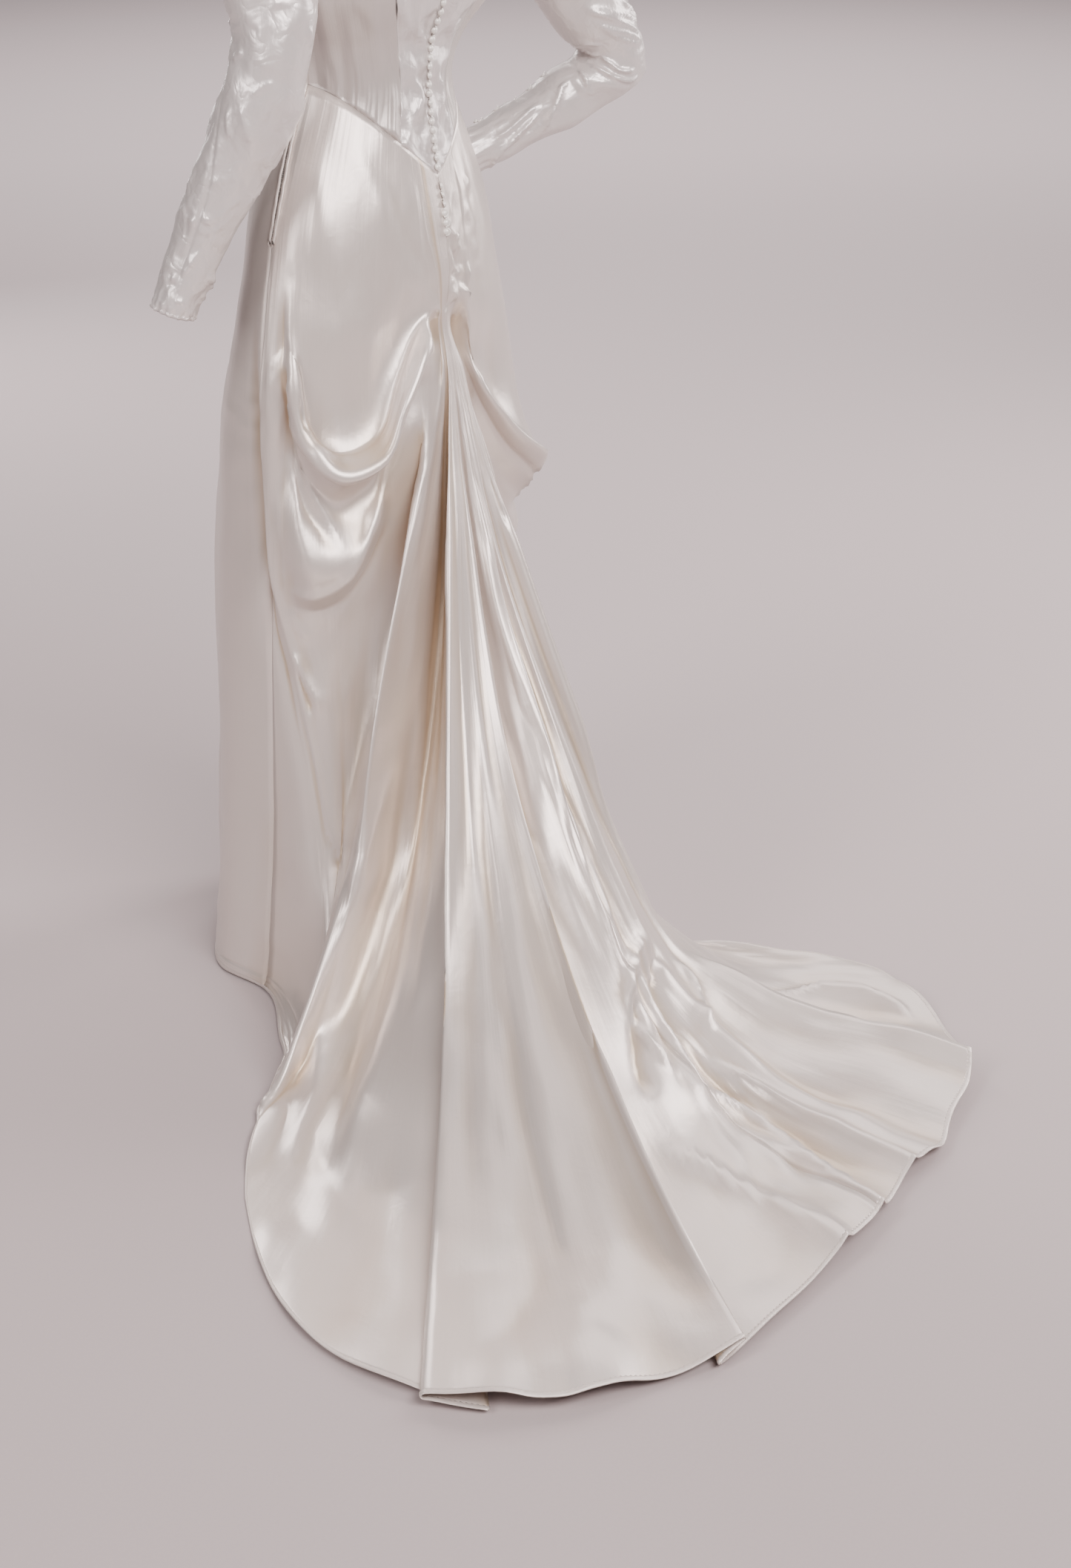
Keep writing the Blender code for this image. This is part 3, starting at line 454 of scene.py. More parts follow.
# %% Cloth maker
SATIN = 0.0007
SEAM_GAP = 0.0003


def trimmed(grid, sides):
    """The grid with its named edges drawn back by half the seam gap."""
    g = grid.copy()
    edges = {"top": (g[0], g[1]), "bottom": (g[-1], g[-2]),
             "first": (g[:, 0], g[:, 1]), "last": (g[:, -1], g[:, -2])}
    for name in sides:
        edge, beside = edges[name]
        step = beside - edge
        size = np.linalg.norm(step, axis=-1, keepdims=True).clip(1e-9)
        edge += step / size * np.minimum(SEAM_GAP / 2, 0.4 * size)
    return g


def cloth(name, grid, normal, closed=False, thickness=SATIN, hollow=None):
    """A sheet whose points lie on grid; closed joins its last column to its first."""
    if closed:
        grid = np.concatenate([grid, grid[:, :1]], 1)
        normal = np.concatenate([normal, normal[:, :1]], 1)
        hollow = None if hollow is None else np.concatenate([hollow, hollow[:, :1]], 1)
    down, across = grid.shape[0] - 1, grid.shape[1] - 1
    bm = bmesh.new()
    bm.loops.layers.uv.new("UVMap")
    bmesh.ops.create_grid(bm, x_segments=across, y_segments=down, size=1.0, calc_uvs=True)
    flat = np.array([v.co[:2] for v in bm.verts])
    j = np.rint((flat[:, 0] + 1) / 2 * across).astype(int)
    i = down - np.rint((flat[:, 1] + 1) / 2 * down).astype(int)
    # The hollow layer holds how much painted shade each point gets.
    depth = bm.verts.layers.float.new("hollow")
    place = grid[i, j] - [0, 0, HOLD_HEIGHT]
    for v, p, k, m in zip(bm.verts, place, i, j):
        v.co = p
        v[depth] = 0.0 if hollow is None else hollow[k, m]
    bm.normal_update()
    faced = np.array([v.normal for v in bm.verts])
    if np.sum(faced * normal[i, j]) < 0:
        bmesh.ops.reverse_faces(bm, faces=bm.faces)
    if closed:
        bmesh.ops.remove_doubles(bm, verts=bm.verts, dist=0.00002)
    mesh = bpy.data.meshes.new(name)
    bm.to_mesh(mesh)
    bm.free()
    mesh.shade_smooth()
    piece = bpy.data.objects.new(name, mesh)
    bpy.context.scene.collection.objects.link(piece)
    if thickness:
        wall = piece.modifiers.new("wall", "SOLIDIFY")
        wall.thickness, wall.offset = thickness, 0.0
    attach(piece, "root")
    print(name, len(mesh.polygons), "faces")
    return piece


def surface_area(grid):
    a, b = grid[1:, :-1] - grid[:-1, :-1], grid[:-1, 1:] - grid[:-1, :-1]
    return float(np.linalg.norm(np.cross(a, b), axis=-1).sum())


print("cloth", SATIN * 1000, "mm thick")

# %% [markdown]
# Skirt relief. In the train the clouds are long and narrow in rail space, so they run
# down the folds and close up at the gather as real gathers do. On the floor they grow
# wider and flatter. Hollows are kept as an attribute, which the satin uses to paint shade
# there: a tan painted shade for the light that bounces between the folds.

# %% Relief of the skirt
level = skirt[..., 2]
u = rail / len(rails)
v = np.broadcast_to(np.linspace(0, 1, skirt.shape[0])[:, None], skirt.shape[:2])
gather = np.array([0.0, 0.115, GATHER_HEIGHT])
from_gather = np.linalg.norm(skirt - gather, axis=-1)
free = ramp(0.01, 0.30, from_gather)
first_train, last_train = len(LEFT_DRAPES), len(LEFT_DRAPES) + len(LEFT_TRAIN) + len(RIGHT_TRAIN)
in_train = (ramp(first_train - 3, first_train, rail) * ramp(0, 3, last_train + 2 - rail)
            * ramp(0, 0.05, GATHER_HEIGHT - level))
on_floor = 1 - ramp(0.02, 0.10, level)
room = np.linalg.norm(np.roll(skirt, 4, 1) - np.roll(skirt, -4, 1), axis=-1)
room = np.clip(room / 0.030, 0, 1)
relief = in_train * room * (0.0026 * cloud(u, v, 80, 7, 11) + 0.0008 * cloud(u, v, 170, 14, 12))
plan_u, plan_v = (skirt[..., 0] + 0.45) / 1.3, (skirt[..., 1] + 0.25) / 1.2
lying = in_train * on_floor * (1 - doubled)
relief += lying * 0.0075 * np.maximum(cloud(plan_u, plan_v, 9, 8, 13) + 0.15, 0)
relief += lying * 0.0032 * np.maximum(cloud(plan_u, plan_v, 19, 17, 17) + 0.10, 0)
relief += 0.0016 * in_train * (1 - doubled) * crumple(plan_u, plan_v, 15, 13, 18) * ramp(0.4, 0.0, level)
beside_seam = np.exp(-((rail - SEAM) / 1.1)**2) * (rail > SEAM - 3)
relief += 0.0036 * beside_seam * room * crumple(u, v, 150, 30, 19) * ramp(0.98, 0.90, v)
body_u, body_v = (skirt[..., 0] + 0.26) / 0.52, level / 1.1
relief += (1 - in_train) * ramp(0.02, 0.12, waist_height(90) - level) * (
    0.0024 * cloud(body_u, body_v, 8, 7, 14) + 0.0009 * cloud(body_u, body_v, 20, 17, 15))
relief += 0.0004 * room * cloud(u, v, 160, 60, 16)
near_back = np.exp(-((np.abs(rail - SEAM) - 5) / 5.0)**2) * (rail > SEAM)
relief += 0.0040 * near_back * ramp(0.0, 0.04, waist_height(90) - level) * ramp(
    GATHER_HEIGHT - 0.01, GATHER_HEIGHT + 0.05, level) * crumple(body_u, body_v, 26, 60, 20)
skirt_relief = relief
block = (slice(8, 44), slice((SEAM - 2) * COLUMNS, (SEAM + 16) * COLUMNS))
rng = np.random.default_rng(29)
for _ in range(54):
    x, z = -0.002 - 0.062 * rng.random()**1.3, rng.uniform(0.838, 0.968)
    slant, size = rng.normal(0.5, 0.6), rng.uniform(0.008, 0.030)
    line = [(x + math.sin(slant) * size * t, 0.112, z + math.cos(slant) * size * t)
            for t in (-0.5, 0.0, 0.5)]
    skirt_relief[block] += crease(
        skirt[block], skirt_normal[block], laid(skirt[block], skirt_normal[block], line),
        *rng.uniform(0.002, 0.006, 2), 0.0030 * rng.uniform(-0.8, 1.4))
print("relief up to", round(float(np.abs(skirt_relief).max()) * 1000, 1), "mm")

# %% [markdown]
# The creases that give this gown its look are drawn one at a time, as a line of points on
# the cloth with a width on each side and a height. A negative height is a hollow. Each is
# in millimetres from the floor's centre, and fades at both its ends.

# %% Creases placed one by one
CREASES = (
    ("beak in the swag", 6, 8, 4, 0.02, ((189, 67, 702), (183, 76, 694), (171, 84, 690),
        (162, 92, 691), (154, 94, 699))),
    ("drape edge", 20, 4, 7, 0.01, ((175, 25, 888), (183, 30, 818), (190, 38, 780), (190, 43, 727),
        (181, 42, 666), (176, 50, 630), (170, 60, 610), (167, 73, 589), (167, 84, 572),
        (167, 88, 556))),
    ("left of drape edge", 5, 8, -4, 0.02, ((181, 21, 863), (191, 28, 779), (183, 27, 720),
        (187, 36, 661), (187, 47, 627), (181, 59, 605), (177, 75, 580), (175, 83, 561))),
    ("side edge", 24, 4, 7, 0.01, ((175, -14, 903), (189, -5, 795), (195, -2, 713), (198, 2, 645),
        (200, 2, 585), (199, 5, 527), (196, 13, 483), (194, 20, 452), (194, 28, 417),
        (194, 40, 365), (195, 57, 298), (200, 76, 231), (252, 134, 178))),
    ("before the side edge", 6, 10, -5, 0.02, ((178, -22, 874), (187, -20, 790), (192, -17, 707),
        (196, -13, 637), (198, -10, 577), (200, 1, 515), (200, 5, 470), (199, 15, 435),
        (201, 26, 392), (204, 40, 329), (206, 59, 267))),
    ("second cowl", 11, 22, 8, 0.04, ((198, 19, 537), (195, 36, 525), (190, 59, 523),
        (174, 75, 529), (159, 88, 548), (140, 93, 574), (121, 96, 608), (104, 97, 639))),
    ("under the second cowl", 14, 10, -6, 0.05, ((192, 23, 504), (178, 48, 496), (154, 64, 499),
        (132, 76, 521), (114, 87, 555), (97, 95, 597))),
    ("third cowl", 7, 9, 4, 0.02, ((192, 22, 501), (187, 28, 480), (182, 35, 468), (176, 43, 460))),
    ("pointed tuck", 9, 4, 6, 0.01, ((193, 22, 446), (189, 30, 426), (186, 40, 404),
        (183, 50, 386), (183, 53, 367))),
    ("behind the tuck", 5, 5, -5, 0.02, ((192, 28, 421), (189, 38, 394), (186, 47, 372))),
    ("right lower lip", 7, 7, 7, 0.01, ((-152, 132, 621), (-150, 119, 602), (-153, 99, 580),
        (-140, 97, 557))),
    ("hip pull one", 16, 20, 2.2, 0.2, ((102, 45, 1048), (98, 72, 995), (85, 92, 939),
        (63, 104, 878), (38, 111, 832))),
    ("hip pull two", 14, 18, -1.6, 0.2, ((82, 71, 1025), (74, 88, 977), (59, 102, 919),
        (42, 109, 867))),
    ("hip pull three", 22, 24, 2.4, 0.2, ((124, 20, 1035), (141, 43, 975), (143, 64, 911),
        (129, 82, 845), (103, 91, 790))),
    ("pull at the gather, left", 3, 6, 2.5, 0.02, ((42, 109, 874), (31, 111, 850), (12, 108, 827),
        (8, 107, 815))),
    ("pull at the gather, right", 6, 3, 2, 0.02, ((-15, 112, 859), (-7, 110, 839), (2, 109, 824),
        (6, 108, 814))),
    ("first ridge", 12, 7, 6, 0.02, ((28, 111, 761), (57, 116, 658), (105, 131, 552),
        (139, 130, 382), (209, 154, 275), (278, 160, 159), (337, 164, 89))),
    ("ridge by the seam", 8, 8, 5, 0.03, ((2, 120, 753), (-2, 134, 697), (3, 150, 638),
        (14, 172, 573), (30, 206, 491), (51, 250, 404), (74, 305, 312))),
    ("right ridge", 5, 14, 7, 0.02, ((-6, 120, 756), (-17, 136, 685), (-21, 155, 627),
        (-18, 193, 549), (-24, 233, 445), (-31, 277, 339), (-35, 325, 224))),
    ("middle of the fan", 30, 30, 5, 0.1, ((14, 140, 657), (32, 169, 540), (69, 212, 429),
        (103, 258, 339), (155, 327, 253), (216, 413, 180))),
    ("fan hollow", 22, 26, -5, 0.1, ((32, 141, 643), (70, 180, 536), (110, 220, 423),
        (158, 265, 323), (212, 322, 229), (271, 380, 158))),
    ("landing fold one", 9, 9, 10, 0.02, ((25, 414, 131), (95, 453, 124), (142, 474, 113),
        (161, 501, 92), (172, 537, 69), (169, 577, 43))),
    ("landing fold two", 8, 10, 9, 0.02, ((-11, 432, 87), (-9, 454, 70), (11, 483, 58),
        (51, 521, 53), (83, 539, 48))),
    ("landing hollow", 10, 12, -11, 0.03, ((14, 425, 110), (57, 459, 100), (90, 488, 84),
        (101, 516, 63), (116, 536, 52))),
    ("deep landing hollow", 12, 12, -12, 0.05, ((121, 477, 108), (180, 511, 84), (218, 543, 64),
        (244, 574, 49))),
    ("floor fold left", 18, 24, 7, 0.05, ((335, 171, 79), (354, 187, 35), (402, 220, 10),
        (461, 252, 1), (542, 298, 1))),
    ("floor fold left hollow", 24, 20, -5, 0.1, ((330, 199, 47), (376, 249, 26), (446, 297, 9),
        (532, 338, 1))),
    ("floor wave one", 34, 40, 6, 0.15, ((331, 355, 135), (345, 405, 103), (390, 462, 69),
        (463, 527, 36), (571, 599, 15))),
    ("floor wave two", 30, 36, 5, 0.15, ((290, 448, 134), (327, 515, 99), (384, 595, 59),
        (464, 678, 22), (543, 752, 8))),
    ("third long fold", 5, 24, 8, 0.01, ((265, 505, 140), (308, 567, 104), (365, 648, 68),
        (400, 699, 52), (475, 803, 27))),
    ("floor ridge, far", 8, 34, 20, 0.01, ((-43, 407, 88), (-62, 452, 50), (-66, 499, 34),
        (-75, 578, 16), (-84, 645, 12), (-89, 716, 13), (-99, 790, 12), (-108, 859, 11))),
    ("floor ridge, third", 9, 24, 14, 0.01, ((103, 549, 41), (96, 601, 22), (105, 686, 11),
        (119, 761, 11), (129, 826, 12), (140, 895, 14))),
    ("floor ridge, second", 9, 24, 15, 0.01, ((187, 578, 47), (137, 601, 16), (135, 649, 3),
        (166, 723, 1), (216, 817, 5), (233, 859, 6), (260, 924, 6))),
    ("floor ridge, near", 9, 24, 12, 0.01, ((292, 606, 36), (275, 647, 23), (276, 714, 12),
        (288, 777, 10), (311, 850, 10), (332, 917, 10))),
    ("far lobe ridge", 7, 30, 13, 0.01, ((-56, 505, 36), (-169, 545, 3), (-191, 594, 6),
        (-185, 654, 7), (-155, 691, 7))),
)
crest, tube = sum(ROWS[:4]), slice(int(8.2 * COLUMNS), int(2.6 * COLUMNS), -4)
swag = slice(int(35.5 * COLUMNS), int(39.6 * COLUMNS), 4)
ALONG_FOLDS = (
    ("swag tube", 9, 8, 7, 0.3, skirt[crest, tube] * 1000),
    ("groove in the tube", 2.5, 2.5, -2.5, 0.03, skirt[crest, tube] * 1000),
    ("valley above the tube", 5, 26, -8, 0.03, skirt[crest - 8, tube] * 1000),
    ("shadow under the tube", 16, 5, -7, 0.03, skirt[crest + 8, tube] * 1000),
    ("right swag", 6, 10, 8, 0.004, skirt[crest, swag] * 1000),
    ("under the right swag", 6, 14, -7, 0.02, skirt[crest + 8, swag] * 1000),
    ("long edge", 22, 5, 6, 0.01, skirt[crest + 40:crest + 110:10, 14 * COLUMNS] * 1000),
)
for name, left, right, tall, sharp, path in (*CREASES, *ALONG_FOLDS):
    line = laid(skirt, skirt_normal, np.array(path) / 1000)
    skirt_relief = skirt_relief + crease(skirt, skirt_normal, line, left / 1000, right / 1000,
                                         tall / 1000, sharp)
print(len(CREASES) + len(ALONG_FOLDS), "creases")

# %% Skirt sheets
lifted = skirt + skirt_normal * skirt_relief[..., None]
lifted[..., 2] = np.maximum(lifted[..., 2], FLOOR_REST)


def waist_edge(angle):
    """Points of the bodice's lower edge."""
    return body_point(angle, waist_height(angle))


WAIST = BODY[10]
waist_angle = np.degrees(np.arctan2(lifted[0, :, 1] / WAIST[3], lifted[0, :, 0] / WAIST[1]))
lifted[0] = waist_edge(waist_angle)
lifted_normal = grid_normals(lifted, closed=True)
# Painted shade: how concave the cloth is across its folds, with more added in the valley between the first two
# train folds and under the swag tube, becomes the hollow attribute, from which the satin paints a tan shade of
# light bounced between the folds.
bend = np.zeros(lifted.shape[:2])
for reach in (2, 5):
    middle = (np.roll(lifted, reach, 1) + np.roll(lifted, -reach, 1)) / 2
    wide = np.linalg.norm(np.roll(lifted, reach, 1) - np.roll(lifted, -reach, 1), axis=-1)
    bend += np.sum((middle - lifted) * lifted_normal, -1) / wide.clip(0.004)
painted_valley_shade = np.exp(-((rail - 11.5) / 1.8)**2) * ramp(0.10, 0.40, level)
painted_valley_shade += 0.6 * np.exp(-((rail - 6.5) / 1.6)**2) * ramp(0.50, 0.58, level) * ramp(0.74, 0.66, level)
below_gather = np.maximum(1 - in_train, ramp(GATHER_HEIGHT + 0.015, GATHER_HEIGHT - 0.015, level))
below_gather *= 1 - np.exp(-((rail - 21) / 15)**8) * (level > GATHER_HEIGHT)
hollow = np.clip(bend * 2.6 * below_gather + 0.9 * painted_valley_shade, -1, 1)

wrap = np.concatenate([lifted, lifted[:, :1]], 1)
wrap_normal = np.concatenate([lifted_normal, lifted_normal[:, :1]], 1)
wrap_painted_fold_shade = np.concatenate([hollow, hollow[:, :1]], 1)
SHEETS = {"skirt_back_left": (0, SEAM * COLUMNS), "skirt_back_right": (SEAM * COLUMNS, RIGHT * COLUMNS),
          "skirt_front": (RIGHT * COLUMNS, skirt.shape[1])}
skirt_pieces = {}
for node, (first, last) in SHEETS.items():
    part = slice(first, last + 1)
    sheet_grid = trimmed(wrap[:, part], ("top", "first", "last"))
    piece = cloth(node.replace("skirt", "satin_skirt"), sheet_grid, wrap_normal[:, part],
                  hollow=wrap_painted_fold_shade[:, part])
    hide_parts(node)
    skirt_pieces[node] = piece
    print(node, "area", round(surface_area(sheet_grid), 3))

# %% [markdown]
# The bodice is cut in panels: a front, two side backs and two narrow centre backs, all
# running down to the pointed waist seam.

# %% Bodice panels
BODICE = {
    "bodice_side_back_left": (0.0, PRINCESS_ANGLE, 72, 1, 0),
    "bodice_centre_back_left": (PRINCESS_ANGLE, 90.0, 36, 0, 0),
    "bodice_centre_back_right": (90.0, 180.0 - PRINCESS_ANGLE, 36, 0, 0),
    "bodice_side_back_right": (180.0 - PRINCESS_ANGLE, 180.0, 72, 0, 1),
    "bodice_front": (180.0, 360.0, 130, 1, 1),
}
BODICE_ROWS = 120


def bodice_rows(angle):
    """Heights of a bodice column from the waist seam to the neckline."""
    low, top, upper = waist_height(angle), neck_height(angle), 1.392
    rise = [low + (1.115 - low) * t for t in (0, 0.35, 0.7, 1.0)]
    knots = rise + [1.16, 1.21, ARMHOLE["centre"] - ARMHOLE["half_height"], 1.286, 1.310,
                    1.335, 1.360, 1.380, upper, upper + (top - upper) * 0.34,
                    upper + (top - upper) * 0.68, top]
    return np.interp(np.linspace(0, len(knots) - 1, BODICE_ROWS + 1), range(len(knots)), knots)


def armhole_angle(z):
    rise = np.clip((z - ARMHOLE["centre"]) / ARMHOLE["half_height"], -1, 1)
    return ARMHOLE["half_angle"] * np.sqrt(1 - rise**2)


def bodice_panel(start, stop, columns, cut_start=0, cut_stop=0):
    grid = []
    for share in np.linspace(0, 1, columns + 1):
        z = bodice_rows(start + (stop - start) * share)
        cut = armhole_angle(z)
        first, last = start + cut_start * cut, stop - cut_stop * cut
        grid.append(body_point(first + (last - first) * share, z))
    grid = np.swapaxes(grid, 0, 1)[::-1].copy()
    return grid, grid_normals(grid, closed=False)


def bodice_relief(node, grid, columns):
    rows_, cols_ = grid.shape[:2]
    s = np.broadcast_to(np.linspace(0, 1, cols_), (rows_, cols_))
    z = grid[..., 2]
    t = np.clip((z - 0.98) / 0.46, 0, 1)
    edges = ramp(0, 0.06, s) * ramp(0, 0.06, 1 - s)
    if "centre_back" in node:
        beside = s if node.endswith("left") else 1 - s
        pucker = np.sin(z / 0.0100 * 2 * np.pi * 0.5 + 3 * cloud(s, t, 1, 8, 21)) * ramp(0.45, 1, beside)
        return edges * (0.0012 * cloud(s, t, 3, 34, 22) + 0.0026 * crumple(s, t, 3, 26, 23)
                        + 0.0006 * pucker)
    if "side_back" in node:
        folds = 0.0016 * cloud(s, t, 9, 5, 24 + cols_) + 0.0006 * cloud(s, t, 16, 26, 25)
        above = z - waist_height(45)
        folds = folds + 0.0016 * np.abs(cloud(s, t, 26, 3, 28)) * np.exp(-(above / 0.05)**2)
        return edges * ramp(0, 0.03, z - waist_height(45) + 0.05) * folds
    return edges * (0.0012 * cloud(s, t, 14, 7, 26) + 0.0005 * cloud(s, t, 30, 30, 27))


bodice_pieces, bodice_grids = {}, {}
for node, spec in BODICE.items():
    grid, normal = bodice_panel(*spec)
    ripple = bodice_relief(node, grid, spec[2])
    if "centre_back" in node:
        ripple += strewn(grid, normal, 33 + len(node), 60, 0.026, 0.0017, 0.0032, 0.8)
    raised = grid + normal * ripple[..., None]
    raised[-1] = grid[-1]
    sheet_grid = trimmed(raised, ("bottom", "first", "last"))
    piece = cloth("satin_" + node, sheet_grid, normal)
    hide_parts(node)
    bodice_pieces[node], bodice_grids[node] = piece, (raised, normal)
    print(node, "area", round(surface_area(sheet_grid), 4))

# %% [markdown]
# Sleeves are one tube each, set into the armhole and bent at the elbow.

# %% Sleeves
LEFT_ARM = (
    (0.204, 0.004, 1.322, 0.058, 0.058, 0.80),
    (0.224, 0.020, 1.262, 0.051, 0.052, 0.20),
    (0.210, 0.048, 1.180, 0.046, 0.047, 0.00),
    (0.219, 0.044, 1.110, 0.044, 0.045, 0.00),
    (0.229, 0.018, 1.040, 0.040, 0.041, 0.00),
    (0.250, -0.018, 0.960, 0.033, 0.034, 0.00),
    (0.270, -0.045, 0.890, 0.026, 0.027, 0.00),
    (0.279, -0.055, 0.852, 0.024, 0.024, 0.00),
)
RIGHT_ARM = (
    (-0.212, 0.014, 1.320, 0.057, 0.058, 0.70),
    (-0.246, 0.032, 1.258, 0.050, 0.052, 0.10),
    (-0.288, 0.058, 1.184, 0.046, 0.048, 0.00),
    (-0.334, 0.086, 1.115, 0.044, 0.046, 0.00),
    (-0.354, 0.092, 1.070, 0.043, 0.045, 0.00),
    (-0.318, 0.068, 1.038, 0.036, 0.038, 0.00),
    (-0.258, 0.026, 0.999, 0.030, 0.031, 0.00),
    (-0.194, -0.017, 0.964, 0.025, 0.026, 0.00),
)


def sleeve_surface(arm, side, sides=116, per_span=24):
    """Closed grid of a sleeve: the armhole's edge, then rings along the arm."""
    table = np.array(arm)
    turn = np.arange(sides) / sides * 2 * np.pi
    base = 0.0 if side > 0 else 180.0
    cap = body_point(base + side * ARMHOLE["half_angle"] * np.cos(turn),
                     ARMHOLE["centre"] + ARMHOLE["half_height"] * np.sin(turn), 0.0017)
    centres = table[:, :3]
    path = smooth_through(np.vstack([cap.mean(0), centres]), [1] * len(centres))
    tangent = np.gradient(path, axis=0)
    tangent /= np.linalg.norm(tangent, axis=1, keepdims=True)
    rings = [cap]
    for centre, ahead, (wide, deep, lean) in zip(centres, tangent[1:], table[:, 3:]):
        ahead = ahead + [side * lean, 0.0, 0.0]
        ahead /= np.linalg.norm(ahead)
        back = np.array([0.0, 1.0, 0.0]) - ahead * ahead[1]
        back /= np.linalg.norm(back)
        up = np.cross(ahead, back) * side
        rings.append(centre + wide * np.sin(turn)[:, None] * up
                     + deep * np.cos(turn)[:, None] * back)
    grid = smooth_through(np.array(rings), [per_span] * (len(rings) - 1))
    normal = grid_normals(grid, closed=True)
    middle = grid.mean(axis=1, keepdims=True)
    if np.mean(np.sum(normal * (grid - middle), -1)) < 0:
        normal = -normal
    return grid, normal


def sleeve_relief(grid, seed, elbow):
    """Diagonal pulls down the arm, and folds that fan out from the bent elbow."""
    rows_, cols_ = grid.shape[:2]
    a = np.broadcast_to(np.arange(cols_) / cols_, (rows_, cols_))
    t = np.broadcast_to(np.linspace(0, 1, rows_)[:, None], (rows_, cols_))
    ease = ramp(0.0, 0.10, t)
    wave = np.cos(2 * np.pi * a)
    twist = 2 * np.pi * (a + 2.6 * t + 0.12 * cloud(wave * 0.5 + 0.5, t, 3, 6, seed))
    h = 0.0014 * np.sin(twist * 2) * np.exp(-((t - elbow) / 0.30)**2)
    h += 0.0022 * cloud(np.abs(2 * a - 1), t, 4, 16, seed + 1) * np.exp(-((t - elbow) / 0.16)**2)
    h += 0.0009 * cloud(np.abs(2 * a - 1), t, 6, 30, seed + 2)
    h += 0.0010 * crumple(np.abs(2 * (a + 0.4 * t) % 2 - 1), t, 5, 15, seed + 4)
    h += 0.0005 * crumple(np.abs(2 * (a - 0.5 * t) % 2 - 1), t, 9, 30, seed + 5)
    h += 0.0011 * np.sin(2 * np.pi * a * 15 + 2 * cloud(a, t, 6, 3, seed + 3)) * ramp(0.94, 1.0, t)
    return h * ease


BENT_SLEEVE_CREASES = (
    ("upper arm one", 3, 5, 4, 0.02, ((-278, 102, 1136), (-290, 116, 1134), (-314, 126, 1129),
        (-346, 126, 1120), (-361, 124, 1109))),
    ("upper arm two", 3, 5, 5, 0.02, ((-279, 104, 1134), (-296, 119, 1129), (-318, 127, 1120),
        (-341, 131, 1109), (-357, 133, 1092))),
    ("upper arm three", 3, 5, 4.5, 0.02, ((-287, 112, 1121), (-303, 120, 1113),
        (-321, 128, 1108), (-343, 132, 1099), (-358, 133, 1089))),
    ("upper arm four", 3, 4, 3.5, 0.02, ((-301, 118, 1110), (-316, 124, 1103), (-331, 131, 1096),
        (-354, 134, 1089))),
    ("upper arm five", 4, 5, 4, 0.02, ((-325, 124, 1141), (-348, 122, 1128), (-360, 121, 1113))),
    ("elbow ridge one", 3, 4, 5, 0.01, ((-314, 103, 1081), (-319, 113, 1073), (-326, 122, 1063),
        (-335, 129, 1061), (-347, 132, 1062))),
    ("elbow ridge two", 3, 4, 5.5, 0.01, ((-309, 87, 1068), (-312, 108, 1061), (-325, 119, 1054),
        (-342, 128, 1050), (-358, 131, 1054))),
    ("inner elbow one", 3, 3, 3.5, 0.02, ((-303, 79, 1088), (-312, 90, 1082), (-314, 106, 1081))),
    ("inner elbow two", 3, 3, 3, 0.02, ((-291, 85, 1095), (-296, 100, 1094), (-309, 111, 1092))),
    ("forearm short one", 2.5, 3, 4.5, 0.01, ((-298, 82, 1063), (-294, 95, 1054),
        (-298, 97, 1040), (-305, 99, 1031))),
    ("forearm short two", 2.5, 3, 4.5, 0.01, ((-288, 81, 1055), (-291, 90, 1044),
        (-298, 94, 1031))),
    ("forearm long one", 3, 4, 5, 0.01, ((-287, 80, 1053), (-277, 74, 1043), (-269, 74, 1031),
        (-262, 71, 1015), (-257, 64, 997), (-254, 58, 988))),
    ("forearm long two", 3, 4, 5, 0.01, ((-251, 61, 1016), (-243, 55, 1006), (-229, 45, 991),
        (-216, 35, 975), (-209, 23, 960), (-230, -4, 950))),
    ("forearm edge", 4, 5, 4, 0.02, ((-256, 58, 1027), (-245, 51, 1018), (-228, 39, 1001),
        (-208, 27, 987), (-200, 23, 982))),
    ("forearm hollow", 6, 6, -3.5, 0.05, ((-259, 66, 1023), (-245, 57, 1001), (-231, 44, 980),
        (-219, 29, 964))),
)
SLEEVE_SEAM = ((24, 52), (60, 50), (85, 46), (99, 42), (110, 37), (122, 30), (134, 24), (146, 21),
               (160, 20), (191, 19))
sleeve_pieces = {}
for word, arm, side, seed, elbow in (("left", LEFT_ARM, 1, 31, 0.42), ("right", RIGHT_ARM, -1, 41, 0.60)):
    grid, normal = sleeve_surface(arm, side)
    ripple = sleeve_relief(grid, seed, elbow)
    middle = slice(6, -10)
    if word == "left":
        ripple[middle] += strewn(grid[middle], normal[middle], seed + 6, 240, 0.030, 0.0022, 0.0034, 0.8)
        line = laid(grid, normal, [grid[i, j] for i, j in SLEEVE_SEAM], 4)
        ripple += crease(grid, normal, line, 0.011, 0.011, 0.0018, 0.1)
        ripple += crease(grid, normal, line, 0.0038, 0.0038, -0.0034, 0.01)
        rng = np.random.default_rng(seed + 9)
        for i in range(40, 184, 4):
            j = int(np.interp(i, *zip(*SLEEVE_SEAM)))
            a, b, side_step = rng.integers(-4, 5), rng.integers(4, 9), rng.choice((-5, 5))
            line = [grid[i + k * a // 2, j + side_step + k * b // 2] for k in (-1, 0, 1)]
            ripple += crease(grid, normal, line, 0.0036, 0.0044, rng.uniform(-0.0016, 0.0024), 0.02)
    else:
        ripple[middle] += strewn(grid[middle], normal[middle], seed + 6, 40, 0.030, 0.0012, 0.0036, 0.5)
        for name, left, right, tall, sharp, path in BENT_SLEEVE_CREASES:
            line = laid(grid, normal, np.array(path) / 1000, 4)
            ripple += crease(grid, normal, line, left / 1100, right / 1100, tall / 850, sharp / 2)
    raised = grid + normal * ripple[..., None]
    piece = cloth("satin_sleeve_" + word, raised, normal, closed=True)
    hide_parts("sleeve_" + word)
    sleeve_pieces[word] = (piece, raised, normal)
    print("sleeve", word, "area", round(surface_area(np.concatenate([raised, raised[:, :1]], 1)), 4))

